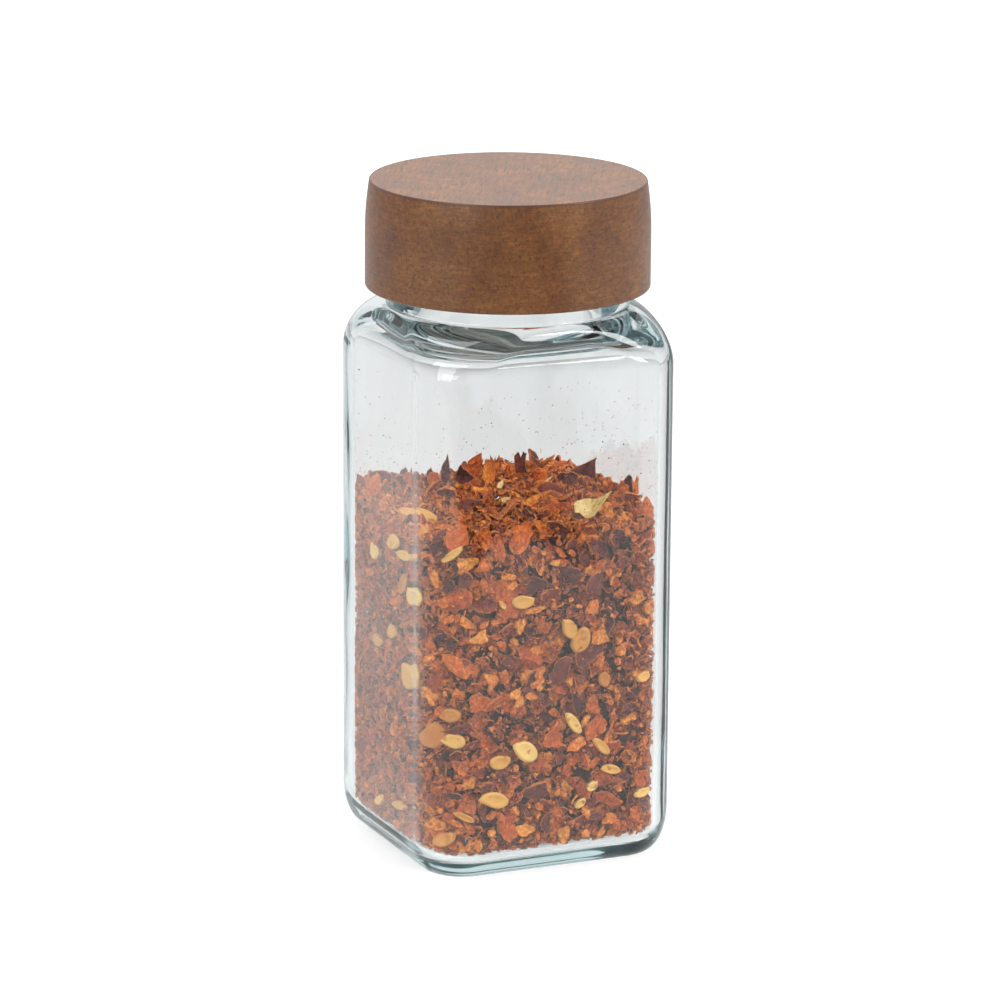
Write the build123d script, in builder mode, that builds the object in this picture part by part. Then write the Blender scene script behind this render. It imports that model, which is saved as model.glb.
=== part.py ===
from build123d import *
import os
from math import cos, pi, sin

# A square glass spice jar with a turned wooden screw cap, filled with chilli flakes.
# The jar stands on its base at the origin, +Z is up, and its four faces look along X and Y.
# Sizes are in millimetres. Heights are measured from the surface that the jar stands on.

# Glass body
body_side = 45.0
body_corner_radius = 9.0
body_wall = 2.2
cavity_corner_radius = 7.7
heel_inset = 3.8
heel_height = 7.4
shoulder_start = 82.0
shoulder_rise = 8.3
shoulder_fullness = 1.75

# Glass base
base_thickness = 4.2
inner_heel_radius = 3.0
push_up_depth = 0.8
bearing_width = 2.6
push_up_corner_radius = 4.0
push_up_slope = 35.0

# Glass neck, moulded as a round screw finish
neck_height = 13.9
neck_outer_radius = 17.6
neck_wall = 2.1
neck_bead_stand = 1.9
neck_bead_height = 3.1
neck_bead_step = 0.5
neck_root_fillet = 0.4
bore_flare = 1.0
lip_round = 0.8

# Sealing liner, a foam disc held up inside the insert
liner_thickness = 1.0
liner_clearance = 0.3
liner_catch_height = 0.8
liner_catch_depth = 0.5

# Plastic insert, which carries the thread inside the wooden cap
thread_room = 1.6
insert_skirt_wall = 1.4
insert_plate_thickness = 1.2
insert_height = 12.4
insert_lead_in = 0.5
grip_rib_count = 24
grip_rib_height = 0.35
grip_rib_width = 0.8
grip_rib_end_gap = 1.5

# Wooden cap, turned from one block
cap_side_wall = 2.08
cap_height = 17.5
cap_top_thickness = 4.2
cap_barrel_height = 8.6
cap_barrel_inset = 0.7
cap_arris_round = 0.25
cap_foot_round = 0.4
cap_mouth_chamfer = 0.5
glue_gap = 0.1

# Chilli flakes, a settled heap with an uneven top and coarse shards that lean out of it
heap_level = 57.0
heap_relief = 3.0
heap_clearance = 0.3
shard_length = 8.4
shard_width = 6.8
shard_thickness = 0.9
shard_pitch = 6.4
shard_stand = 2.0
shard_rise = 0.6
shard_lean = 24.0
shard_lean_spread = 11.0

# How far a cut runs past what it cuts
overrun = 1.0

# A turn that never repeats, so that no two neighbouring shards lie alike
golden_angle = 137.5

# Where the levels of the moulded curves lie, and how round the shoulder gets at the neck
quarter_turn = pi / 2
heel_levels = 6
shoulder_levels = 8
neck_roundness_share = 0.98

# The heap's top, row by row from front to back: how far back the row lies,
# and its height at even steps from left to right
heap_row_shares = (-0.5, -0.25, 0.0, 0.25, 0.5)
heap_height_shares = (
    (-0.20, 0.00, 0.10, -0.05, -0.30),
    (-0.05, 0.25, 0.45, 0.15, -0.20),
    (0.15, 0.40, 0.70, 0.40, -0.05),
    (0.40, 0.50, 0.80, 0.50, 0.10),
    (0.55, 0.45, 0.60, 0.55, 0.25),
)

# The outline of a broken shard, in shares of its length and width, and its sizes in turn
shard_corner_shares = ((0.5, 0.1), (0.15, 0.5), (-0.4, 0.38), (-0.5, -0.2), (0.1, -0.5))
shard_size_shares = (1.0, 0.78, 0.9)

# Heights and sizes that follow from the driving dimensions
shoulder_top = shoulder_start + shoulder_rise
rim_height = shoulder_top + neck_height
bead_top = shoulder_top + neck_bead_height
cavity_side = body_side - 2 * body_wall
cavity_shoulder_top = shoulder_top - body_wall
neck_bead_radius = neck_outer_radius + neck_bead_stand
neck_bore_radius = neck_outer_radius - neck_wall
insert_bore_radius = neck_outer_radius + thread_room
liner_top = rim_height + liner_thickness
liner_radius = insert_bore_radius - liner_clearance
insert_top = liner_top + insert_plate_thickness
insert_bottom = insert_top - insert_height
insert_radius = insert_bore_radius + insert_skirt_wall
counterbore_radius = insert_radius + grip_rib_height + glue_gap
cap_radius = counterbore_radius + cap_side_wall
cap_top = insert_top + cap_top_thickness
cap_bottom = cap_top - cap_height


def shoulder_sections(lower_side, lower_corner, upper_radius, start, rise):
    """Gives height, side and corner radius for each level of a square-to-round shoulder."""
    sections = []
    for level in range(shoulder_levels):
        share = 1 - cos(quarter_turn * level / (shoulder_levels - 1))
        climb = (1 - (1 - share) ** shoulder_fullness) ** (1 / shoulder_fullness)
        side = lower_side + (2 * upper_radius - lower_side) * share
        corner = lower_corner + (upper_radius * neck_roundness_share - lower_corner) * share
        sections.append((start + rise * climb, side, corner))
    return sections


# Inside of the glass: square room, shoulder and round bore
with BuildPart() as jar_cavity:
    with BuildSketch(Plane.XY.offset(base_thickness)):
        RectangleRounded(cavity_side, cavity_side, cavity_corner_radius)
    extrude(amount=shoulder_start - base_thickness)
    fillet(jar_cavity.faces().sort_by(Axis.Z)[0].edges(), radius=inner_heel_radius)
    inner_rise = cavity_shoulder_top - shoulder_start
    for height, side, corner in shoulder_sections(
        cavity_side, cavity_corner_radius, neck_bore_radius, shoulder_start, inner_rise
    ):
        with BuildSketch(Plane.XY.offset(height)):
            RectangleRounded(side, side, corner)
    loft()
    with BuildSketch(Plane.XZ):
        with BuildLine():
            flare_foot = (neck_bore_radius + bore_flare, cavity_shoulder_top)
            flare_head = (neck_bore_radius, cavity_shoulder_top + bore_flare)
            Polyline((0, shoulder_start), (flare_foot[0], shoulder_start), flare_foot)
            RadiusArc(flare_foot, flare_head, bore_flare)
            Polyline(
                flare_head,
                (neck_bore_radius, rim_height + overrun),
                (0, rim_height + overrun),
                (0, shoulder_start),
            )
        make_face()
    revolve(axis=Axis.Z)

# Glass jar: heel, straight walls, shoulder and screw neck, blown hollow
with BuildPart() as glass_jar:
    for level in range(heel_levels):
        turn = quarter_turn * level / (heel_levels - 1)
        inset = heel_inset * (1 - sin(turn))
        with BuildSketch(Plane.XY.offset(heel_height * (1 - cos(turn)))):
            RectangleRounded(body_side - 2 * inset, body_side - 2 * inset, body_corner_radius - inset)
    loft()
    with BuildSketch(Plane.XY.offset(heel_height)):
        RectangleRounded(body_side, body_side, body_corner_radius)
    extrude(amount=shoulder_start - heel_height)
    for height, side, corner in shoulder_sections(
        body_side, body_corner_radius, neck_bead_radius, shoulder_start, shoulder_rise
    ):
        with BuildSketch(Plane.XY.offset(height)):
            RectangleRounded(side, side, corner)
    loft()
    with BuildSketch(Plane.XZ):
        with BuildLine():
            root_foot = (neck_bead_radius + neck_root_fillet, shoulder_top)
            root_head = (neck_bead_radius, shoulder_top + neck_root_fillet)
            Polyline((0, shoulder_start), (neck_bore_radius, shoulder_start), root_foot)
            RadiusArc(root_foot, root_head, neck_root_fillet)
            Polyline(
                root_head,
                (neck_bead_radius, bead_top - neck_bead_step),
                (neck_bead_radius - neck_bead_step, bead_top),
                (neck_outer_radius, bead_top),
                (neck_outer_radius, rim_height),
                (0, rim_height),
                (0, shoulder_start),
            )
        make_face()
    revolve(axis=Axis.Z)
    add(jar_cavity.part, mode=Mode.SUBTRACT)
    fillet(glass_jar.edges().group_by(Axis.Z)[-1], radius=lip_round)
    push_up_side = body_side - 2 * heel_inset - 2 * bearing_width
    with BuildSketch(Plane.XY):
        RectangleRounded(push_up_side, push_up_side, push_up_corner_radius)
    extrude(amount=push_up_depth, taper=push_up_slope, mode=Mode.SUBTRACT)

# Chilli flakes: a settled core with an uneven top, and the room that the heap may fill
heap_side = cavity_side - 2 * heap_clearance
heap_floor = base_thickness + heap_clearance
heap_corner_radius = cavity_corner_radius - heap_clearance
core_side = heap_side - 2 * shard_stand
core_corner_radius = heap_corner_radius - shard_stand
core_level = heap_level - shard_stand
with BuildPart() as heap_core:
    for row_share, height_shares in zip(heap_row_shares, heap_height_shares):
        with BuildSketch(Plane.XZ.offset(-row_share * cavity_side)):
            with BuildLine():
                steps = len(height_shares) - 1
                crest = [
                    ((step / steps) * cavity_side - cavity_side / 2, core_level + heap_relief * share)
                    for step, share in enumerate(height_shares)
                ]
                Spline(*crest)
                Polyline(crest[-1], (crest[-1][0], heap_floor), (crest[0][0], heap_floor), crest[0])
            make_face()
    loft()
    with BuildSketch(Plane.XY.offset(heap_floor)):
        RectangleRounded(core_side, core_side, core_corner_radius)
    extrude(amount=shoulder_start - heap_floor, mode=Mode.INTERSECT)

with BuildPart() as heap_room:
    with BuildSketch(Plane.XY.offset(heap_floor)):
        RectangleRounded(heap_side, heap_side, heap_corner_radius)
    extrude(amount=shoulder_start - heap_floor)
    fillet(heap_room.faces().sort_by(Axis.Z)[0].edges(), radius=inner_heel_radius - heap_clearance)

# One coarse shard of dried chilli, a flat chip with a broken outline
with BuildPart() as shard:
    with BuildSketch():
        with BuildLine():
            Polyline(*[(shard_length * x, shard_width * y) for x, y in shard_corner_shares], close=True)
        make_face()
    extrude(amount=shard_thickness / 2, both=True)


def core_top(x, y):
    """Height of the core's top above a point of the base, taken between the table's values."""
    steps = len(heap_row_shares) - 1
    column = (x / cavity_side + 0.5) * steps
    row = (y / cavity_side + 0.5) * steps
    i = int(column)
    j = int(row)
    near, far = (
        shares[i] + (shares[i + 1] - shares[i]) * (column - i) for shares in heap_height_shares[j : j + 2]
    )
    return core_level + heap_relief * (near + (far - near) * (row - j))


def side_planes():
    """Planes on the core's sides, in staggered rows, that look out towards the glass."""
    flat = core_side - 2 * core_corner_radius
    stretch = flat + core_corner_radius * quarter_turn
    columns = round(stretch / shard_pitch)
    rows = int((heap_level - heap_floor) / shard_pitch)
    planes = []
    for row in range(rows):
        height = heap_floor + (row + 0.5) * shard_pitch
        for column in range(4 * columns):
            run = (column % columns + 0.5 * (row % 2)) * stretch / columns
            bend = max(0, run - flat) / core_corner_radius
            x = min(run, flat) - flat / 2 + core_corner_radius * sin(bend)
            y = -flat / 2 - core_corner_radius * cos(bend)
            side = 90 * (column // columns)
            place = Vector(x, y, height).rotate(Axis.Z, side)
            outward = Vector(sin(bend), -cos(bend), 0).rotate(Axis.Z, side)
            planes.append(Plane(origin=place, x_dir=(0, 0, 1), z_dir=outward))
    return planes


def top_planes():
    """Planes on the core's top, in a square grid, that look up."""
    count = round(core_side / shard_pitch)
    lines = [((line + 0.5) / count - 0.5) * core_side for line in range(count)]
    return [Plane(origin=(x, y, core_top(x, y))) for x in lines for y in lines]


# The heap: shards half sunk in the core, each turned and leaning its own way, cut flat by the glass
shard_places = []
for number, plane in enumerate(side_planes() + top_planes()):
    lean = shard_lean + shard_lean_spread * sin(number)
    spin = golden_angle * number
    shard_places.append(plane.offset(shard_rise).location * Rotation(0, 0, spin) * Rotation(0, lean, 0))

with BuildPart() as heap:
    add(heap_core.part)
    add(
        [
            shard.part.scale(shard_size_shares[number % len(shard_size_shares)]).moved(place)
            for number, place in enumerate(shard_places)
        ]
    )
    add(heap_room.part, mode=Mode.INTERSECT)

# A tip that the glass cuts off a shard would lie loose, so only the heap itself is kept
with BuildPart() as chilli_flakes:
    add(heap.solids().sort_by(SortBy.VOLUME)[-1])

# Sealing liner: a foam disc that lies on the glass rim and under the insert's plate
with BuildPart() as seal_liner:
    with BuildSketch(Plane.XY.offset(rim_height)):
        Circle(liner_radius)
    extrude(amount=liner_thickness)

# Plastic insert: plate and skirt, a catch under the liner, and ribs that grip the wood
with BuildPart() as cap_insert:
    with BuildSketch(Plane.XY.offset(insert_bottom)):
        Circle(insert_radius)
    extrude(amount=insert_height)
    with BuildSketch(Plane.XY.offset(insert_bottom)):
        Circle(insert_bore_radius)
    extrude(amount=insert_height - insert_plate_thickness, mode=Mode.SUBTRACT)
    mouth_edges = cap_insert.edges().filter_by(GeomType.CIRCLE).group_by(Axis.Z)[0]
    chamfer(mouth_edges.sort_by(SortBy.RADIUS)[0], length=insert_lead_in)
    catch_foot = rim_height - liner_catch_height
    catch_middle = rim_height - liner_catch_height / 2
    with BuildSketch(Plane.XZ):
        with BuildLine():
            Polyline(
                (insert_radius - insert_skirt_wall / 2, catch_foot),
                (insert_bore_radius, catch_foot),
                (insert_bore_radius - liner_catch_depth, catch_middle),
                (insert_bore_radius, rim_height),
                (insert_radius - insert_skirt_wall / 2, rim_height),
                close=True,
            )
        make_face()
    revolve(axis=Axis.Z)
    with BuildSketch(Plane.XY.offset(insert_bottom + grip_rib_end_gap)):
        with PolarLocations(insert_radius, grip_rib_count):
            Rectangle(2 * grip_rib_height, grip_rib_width)
    extrude(amount=insert_height - 2 * grip_rib_end_gap)

# Wooden cap: a turned block with a barrelled upper side, bored out for the insert
with BuildPart() as wooden_cap:
    with BuildSketch(Plane.XZ) as cap_profile:
        with BuildLine():
            barrel_foot = (cap_radius, cap_top - cap_barrel_height)
            barrel_head = (cap_radius - cap_barrel_inset, cap_top)
            Polyline(
                (counterbore_radius, insert_top),
                (counterbore_radius, cap_bottom),
                (cap_radius, cap_bottom),
                barrel_foot,
            )
            TangentArc(barrel_foot, barrel_head, tangent=(0, 1))
            Polyline(barrel_head, (0, cap_top), (0, insert_top), (counterbore_radius, insert_top))
        make_face()
        foot_corners = cap_profile.vertices().group_by(Axis.Y)[0]
        fillet(foot_corners.sort_by(Axis.X)[-1], radius=cap_foot_round)
        mouth_corners = cap_profile.vertices().group_by(Axis.Y)[0]
        chamfer(mouth_corners.sort_by(Axis.X)[0], length=cap_mouth_chamfer)
        top_corners = cap_profile.vertices().group_by(Axis.Y)[-1]
        fillet(top_corners.sort_by(Axis.X)[-1], radius=cap_arris_round)
    revolve(axis=Axis.Z)

pieces = {
    "glass_jar": glass_jar,
    "chilli_flakes": chilli_flakes,
    "seal_liner": seal_liner,
    "cap_insert": cap_insert,
    "wooden_cap": wooden_cap,
}

os.makedirs("parts", exist_ok=True)
for name, piece in pieces.items():
    piece.part.label = name
    export_step(piece.part, f"parts/{name}.step")
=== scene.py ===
# %% [markdown]
# # A square spice jar with a wooden screw cap
# This lesson dresses a small kitchen jar: a moulded glass body, a turned wooden cap with a plastic
# thread insert and a foam seal, and a heap of crushed chilli. The solids come ready-made from a CAD
# model, which fixes every size and place. What is left for Blender is what the eye enjoys: clear
# glass with a green edge, lacquered wood, and thousands of separate flakes and seeds.

# %% Load the frame
import math
import bpy
import numpy as np
from mathutils import Euler, Matrix, Vector, noise
from mathutils.bvhtree import BVHTree


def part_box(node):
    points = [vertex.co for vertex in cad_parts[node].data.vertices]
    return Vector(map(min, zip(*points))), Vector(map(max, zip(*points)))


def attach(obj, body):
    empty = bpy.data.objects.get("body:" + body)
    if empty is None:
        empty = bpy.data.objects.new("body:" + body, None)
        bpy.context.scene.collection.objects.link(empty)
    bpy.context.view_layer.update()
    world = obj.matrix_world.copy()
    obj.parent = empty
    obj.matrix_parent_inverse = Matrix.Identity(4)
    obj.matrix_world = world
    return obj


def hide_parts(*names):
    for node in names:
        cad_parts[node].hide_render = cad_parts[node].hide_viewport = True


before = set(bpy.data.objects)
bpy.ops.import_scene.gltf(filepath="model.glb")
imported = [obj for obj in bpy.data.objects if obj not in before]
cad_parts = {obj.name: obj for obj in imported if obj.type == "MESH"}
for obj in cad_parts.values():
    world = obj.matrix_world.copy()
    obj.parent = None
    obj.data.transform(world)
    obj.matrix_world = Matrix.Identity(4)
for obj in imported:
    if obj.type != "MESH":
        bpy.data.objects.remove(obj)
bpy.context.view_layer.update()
print("nodes:", sorted(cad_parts))

# %% [markdown]
# ## Small helpers
# Blender works in metres, but a jar is easier to think about in millimetres, so sizes are written
# as a number times `mm`. Colours are written as the hex values a colour picker shows. Those are
# sRGB, and the shaders want linear light, so one function turns one into the other.

# %% Units, colour and nodes
mm = 0.001
turn = 2 * math.pi
in_colour = {"data_type": "RGBA"}
multiplied = {"data_type": "RGBA", "blend_type": "MULTIPLY"}
# noise keeps near the middle of 0 to 1
mid_range = {"From Min": 0.3, "From Max": 0.7}


def linear(hex_colour):
    """Turns a hex sRGB colour into the linear RGBA that a shader socket takes."""
    parts = [int(hex_colour[i : i + 2], 16) / 255 for i in (1, 3, 5)]
    return [p / 12.92 if p <= 0.04045 else ((p + 0.055) / 1.055) ** 2.4 for p in parts] + [1.0]


def add_node(tree, kind, inputs=None, stops=None, **settings):
    """Adds a shader node. A node given as an input stands for its first output in use."""
    node = tree.nodes.new("ShaderNode" + kind)
    for name, value in settings.items():
        setattr(node, name, value)
    for name, value in (inputs or {}).items():
        if isinstance(value, bpy.types.Node):
            value = next(output for output in value.outputs if output.enabled)
        if isinstance(value, bpy.types.NodeSocket):
            tree.links.new(value, node.inputs[name])
        else:
            node.inputs[name].default_value = linear(value) if isinstance(value, str) else value
    for number, (place, colour) in enumerate(stops or []):
        ramp = node.color_ramp.elements
        stop = ramp[number] if number < 2 else ramp.new(place)
        stop.position = place
        stop.color = linear(colour)
    return node


def new_material(name, *pieces):
    """Makes an empty node material, gives it to these pieces and returns its tree."""
    material = bpy.data.materials.new(name)
    material.use_nodes = True
    material.node_tree.nodes.clear()
    for piece in pieces:
        piece.data.materials.clear()
        piece.data.materials.append(material)
    return material.node_tree


print("one millimetre is", mm, "Blender units")

# %% [markdown]
# ## The camera
# The jar was photographed from a little above, turned so that one face shows wide and the next
# narrow. A long lens far away keeps its upright edges nearly parallel. The camera comes first,
# because some flakes are placed later at the spot where the photograph shows them.

# %% Camera at the photograph's angle
picture_size = 1000
sensor_width = 36.0
view_azimuth = math.radians(-23.987)
view_elevation = math.radians(14.453)
view_roll = math.radians(0.43)
view_distance = 882.8 * mm
aim_point = Vector((0, 0, 58 * mm))
aim_pixel = (506.1, 494.4)
focal_pixels = 5402.0

level_part = math.cos(view_elevation)
view_back = Vector(
    (math.sin(view_azimuth) * level_part, -math.cos(view_azimuth) * level_part, math.sin(view_elevation))
)
camera_data = bpy.data.cameras.new("photo_camera")
camera_data.sensor_width = sensor_width
camera_data.lens = focal_pixels * sensor_width / picture_size
camera_data.shift_x = (picture_size / 2 - aim_pixel[0]) / picture_size
camera_data.shift_y = (aim_pixel[1] - picture_size / 2) / picture_size
camera = bpy.data.objects.new("photo_camera", camera_data)
bpy.context.collection.objects.link(camera)
camera.location = aim_point + view_back * view_distance
camera.rotation_mode = "QUATERNION"
facing = (-view_back).to_track_quat("-Z", "Y")
camera.rotation_quaternion = facing @ Euler((0, 0, view_roll)).to_quaternion()
bpy.context.scene.camera = camera
print("lens", round(camera_data.lens, 1), "mm, camera at", [round(v, 3) for v in camera.location])

# %% [markdown]
# ## Closed shapes from rings
# The glass is one skin: up the outside, over the lip and down the inside. Such a skin can be made
# with a screw modifier when it is round, or from boxes with subdivision when it is square. This
# jar is both, so it is built from level rings. Each ring is a square with round corners, and a
# ring whose corner radius reaches its half side is a circle. All rings have their points at the
# same angles, so joining them gives clean quads all the way.

# %% Rings and the meshes made of them
def box_ring(half_x, half_y, corner, angles):
    """Distance from the axis to a rectangle with round corners, at each angle."""
    cosine = np.abs(np.cos(angles))
    sine = np.abs(np.sin(angles))
    centre_x = half_x - corner
    centre_y = half_y - corner
    to_side = half_x / np.maximum(cosine, 1e-9)
    to_front = half_y / np.maximum(sine, 1e-9)
    straight = np.minimum(to_side, to_front)
    on_side = (to_side <= to_front) & (straight * sine <= centre_y)
    on_front = (to_front < to_side) & (straight * cosine <= centre_x)
    along = centre_x * cosine + centre_y * sine
    under_root = np.maximum(along**2 - centre_x**2 - centre_y**2 + corner**2, 0)
    return np.where(on_side | on_front, straight, along + np.sqrt(under_root))


def make_object(name, points, faces):
    """Makes a smooth mesh object from a list of points in metres and a list of faces."""
    mesh = bpy.data.meshes.new(name)
    mesh.from_pydata(points, [], faces)
    mesh.validate()
    mesh.polygons.foreach_set("use_smooth", [True] * len(mesh.polygons))
    made = bpy.data.objects.new(name, mesh)
    bpy.context.collection.objects.link(made)
    return made


def ring_faces(count, around):
    """Faces between neighbouring rings, whose points are numbered ring by ring."""
    faces = []
    for low in range(0, (count - 1) * around, around):
        high = low + around
        for i in range(around):
            j = (i + 1) % around
            faces.append((low + i, low + j, high + j, high + i))
    return faces


def ring_skin(name, rings, start, end):
    """Joins rings of points, shape (rings, points, 3), and closes both ends at one point each."""
    count, around, _ = rings.shape
    points = np.vstack([rings.reshape(-1, 3), [start], [end]])
    faces = ring_faces(count, around)
    last = (count - 1) * around
    for i in range(around):
        j = (i + 1) % around
        faces.append((j, i, count * around))
        faces.append((last + i, last + j, count * around + 1))
    return make_object(name, points.tolist(), faces)


print("ring at 45 degrees:", box_ring(22.5, 22.5, 9.0, np.array([turn / 8])).round(2), "mm")

# %% [markdown]
# ## The glass jar
# The real jar is soda-lime glass, pressed and blown in a mould. The outside is crisp where it
# touched the mould. The inside was only touched by air, so it is a little wavy, and that slow
# wobble is what bends the light in a real jar. The neck carries a raised thread of one and a
# quarter turns, and the base stands on a narrow serrated ring round a shallow push-up.

# %% Glass sizes, as in the solids apart from a thinner base, which the photograph shows
jar_low, jar_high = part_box("glass_jar")
body_half = (jar_high.x - jar_low.x) / 2
rim_height = jar_high.z
corner_radius = 9.0 * mm
wall = 2.2 * mm
heel_inset = 3.8 * mm
heel_height = 7.4 * mm
shoulder_start = 82.0 * mm
shoulder_top = 90.3 * mm
shoulder_fullness = 1.75
base_thickness = 2.7 * mm
inner_heel = 3.0 * mm
push_up_depth = 0.8 * mm
bearing_inner = 16.1 * mm
push_up_half = 15.5 * mm
bead_radius = 19.5 * mm
bead_top = 93.4 * mm
bead_step = 0.5 * mm
root_fillet = 0.4 * mm
thread_root = 17.6 * mm
bore_radius = 15.5 * mm
bore_flare = 1.0 * mm
lip_round = 0.8 * mm
print("body side", round(body_half * 2 / mm, 2), "mm, rim at", round(rim_height / mm, 1), "mm")

# %% The skin's levels: half side, corner radius and height
push_up_corner = 4.0 * mm
bearing_corner = 4.3 * mm
shoulder_root = bead_radius + root_fillet


def lerp(a, b, share):
    """The value at this share of the way from a to b."""
    return a + (b - a) * share


def shoulder_levels(half, corner, round_radius, start, top, fullness, steps=22):
    """Levels of the shoulder, where a rounded square turns into the round neck."""
    levels = []
    for step in range(steps + 1):
        share = 1 - math.cos(turn / 4 * step / steps)
        climb = (1 - (1 - share) ** fullness) ** (1 / fullness)
        sizes = [lerp(size, round_radius, share) for size in (half, corner)]
        levels.append((*sizes, lerp(start, top, climb)))
    return levels


def straight_levels(first, last, steps):
    """Evenly spaced levels from one level to another, without the two ends."""
    return [tuple(lerp(a, b, i / steps) for a, b in zip(first, last)) for i in range(1, steps)]


def arc_levels(centre_radius, centre_height, radius, start_degrees, end_degrees, steps):
    """Levels along a rounding of a round part, by its angle from the outward direction."""
    levels = []
    for step in range(steps + 1):
        angle = math.radians(lerp(start_degrees, end_degrees, step / steps))
        reach = centre_radius + radius * math.cos(angle)
        levels.append((reach, reach, centre_height + radius * math.sin(angle)))
    return levels


foot_half = body_half - heel_inset
foot_corner = corner_radius - heel_inset
outside = [
    (push_up_half * s, push_up_corner * s, push_up_depth) for s in (0.1, 0.3, 0.5, 0.7, 0.85, 0.95, 1.0)
]
for s in (0.5, 1.0):
    outside.append((lerp(push_up_half, bearing_inner, s), bearing_corner, push_up_depth * (1 - s)))
bearing_start = len(outside)
outside += straight_levels((bearing_inner, bearing_corner, 0.0), (foot_half, foot_corner, 0.0), 5)
bearing_end = len(outside)
for step in range(15):
    angle = turn / 4 * step / 14
    inset = heel_inset * (1 - math.sin(angle))
    outside.append((body_half - inset, corner_radius - inset, heel_height * (1 - math.cos(angle))))
side_foot = (body_half, corner_radius, heel_height)
side_head = (body_half, corner_radius, shoulder_start)
outside += straight_levels(side_foot, side_head, 24)
outside += shoulder_levels(*side_head[:2], shoulder_root, shoulder_start, shoulder_top, shoulder_fullness)
outside += arc_levels(shoulder_root, shoulder_top + root_fillet, root_fillet, -90, -180, 5)[1:]
outside += [(bead_radius, bead_radius, bead_top - bead_step)]
outside += arc_levels(bead_radius - bead_step, bead_top - bead_step, bead_step, 20, 90, 4)
lip_foot = rim_height - lip_round
thread_foot = (thread_root, thread_root, bead_top)
thread_head = (thread_root, thread_root, lip_foot)
thread_start = len(outside)
outside += [thread_foot] + straight_levels(thread_foot, thread_head, 40)
thread_end = len(outside)
outside += arc_levels(thread_root - lip_round, lip_foot, lip_round, 0, 90, 6)
outside += arc_levels(bore_radius + lip_round, lip_foot, lip_round, 90, 180, 6)
print(len(outside), "levels up the outside and over the lip")

# %% Down the inside
inner_half = body_half - wall
inner_corner = 7.7 * mm
inner_top = shoulder_top - wall
# the glass is thicker under the neck: there it bends the dark heap up into the shoulder
room_shoulder_start = 82.2 * mm
room_shoulder_top = inner_top - 1.15 * mm
room_fullness = 1.95
neck_root = bore_radius + bore_flare
bore_head = (bore_radius, bore_radius, lip_foot)
bore_foot = (bore_radius, bore_radius, inner_top + bore_flare)
inside = straight_levels(bore_head, bore_foot, 8)
inside += arc_levels(neck_root, inner_top + bore_flare, bore_flare, 180, 270, 6)
room_head = shoulder_levels(
    inner_half, inner_corner, neck_root, room_shoulder_start, room_shoulder_top, room_fullness
)
inside += room_head[::-1]
room_foot = (inner_half, inner_corner, base_thickness + inner_heel)
inside += straight_levels(inside[-1], room_foot, 44)
for step in range(11):
    angle = turn / 4 * step / 10
    inset = inner_heel * (1 - math.cos(angle))
    height = base_thickness + inner_heel * (1 - math.sin(angle))
    inside.append((inner_half - inset, inner_corner - inset, height))
floor_half = inner_half - inner_heel
floor_corner = inner_corner - inner_heel
inside += [(floor_half * s, floor_corner * s, base_thickness) for s in (0.9, 0.75, 0.55, 0.35, 0.15)]
print(len(inside), "levels down the inside")

# %% [markdown]
# A blown wall is never even. The photograph tells where this one is thick: a ray of light that
# enters near an upright edge gets caught in the wall, and turns blue-green on its long way. That
# gives one broad line at the right edge and two thin ones at the left. A level section of the
# wall, traced by Snell's law, shows them in these places when the right wall is the thickest, the
# corner of the room at the back left is wide and the one at the front right is tight.

# %% Uneven walls
walls_x = (2.3 * mm, 2.66 * mm)
walls_y = (2.24 * mm, 2.5 * mm)
room_corners = ((inner_corner, 5.7 * mm), (8.2 * mm, inner_corner))


def room_quarter(x, y):
    """Half sides and corner radius of the room, in the quarter where these places lie."""
    to_right = (np.asarray(x) > 0).astype(int)
    to_back = (np.asarray(y) > 0).astype(int)
    corner = np.array(room_corners)[to_back, to_right]
    return body_half - np.array(walls_x)[to_right], body_half - np.array(walls_y)[to_back], corner


room_sides = [round((2 * body_half - sum(walls)) / mm, 2) for walls in (walls_x, walls_y)]
print("room:", room_sides, "mm")

# %% Thread, waves and serrations
ring_points = 256
thread_pitch = 4.233 * mm
thread_turns = 1.25
thread_first_height = 95.7 * mm
thread_crest = 1.1 * mm
thread_half_width = 1.15 * mm
thread_fade = math.radians(25)
wave_length = 16.0 * mm
wave_depth = 0.16 * mm
wave_middle = 0.15
wave_fade = 8 * mm
least_corner = 0.2 * mm
serration_depth = 0.12 * mm


def ridge(angle, height):
    """How much of a thread's crest stands at this angle and height, from 0 to 1."""
    best = 0.0
    for lap in range(3):
        along = angle + lap * turn
        if along > thread_turns * turn:
            continue
        centre = thread_first_height + thread_pitch * along / turn
        across = abs(height - centre) / thread_half_width
        ends = min(along, thread_turns * turn - along) / thread_fade
        if across < 1:
            best = max(best, (1 - across**2.6) * min(1.0, ends) ** 0.5)
    return best


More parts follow.
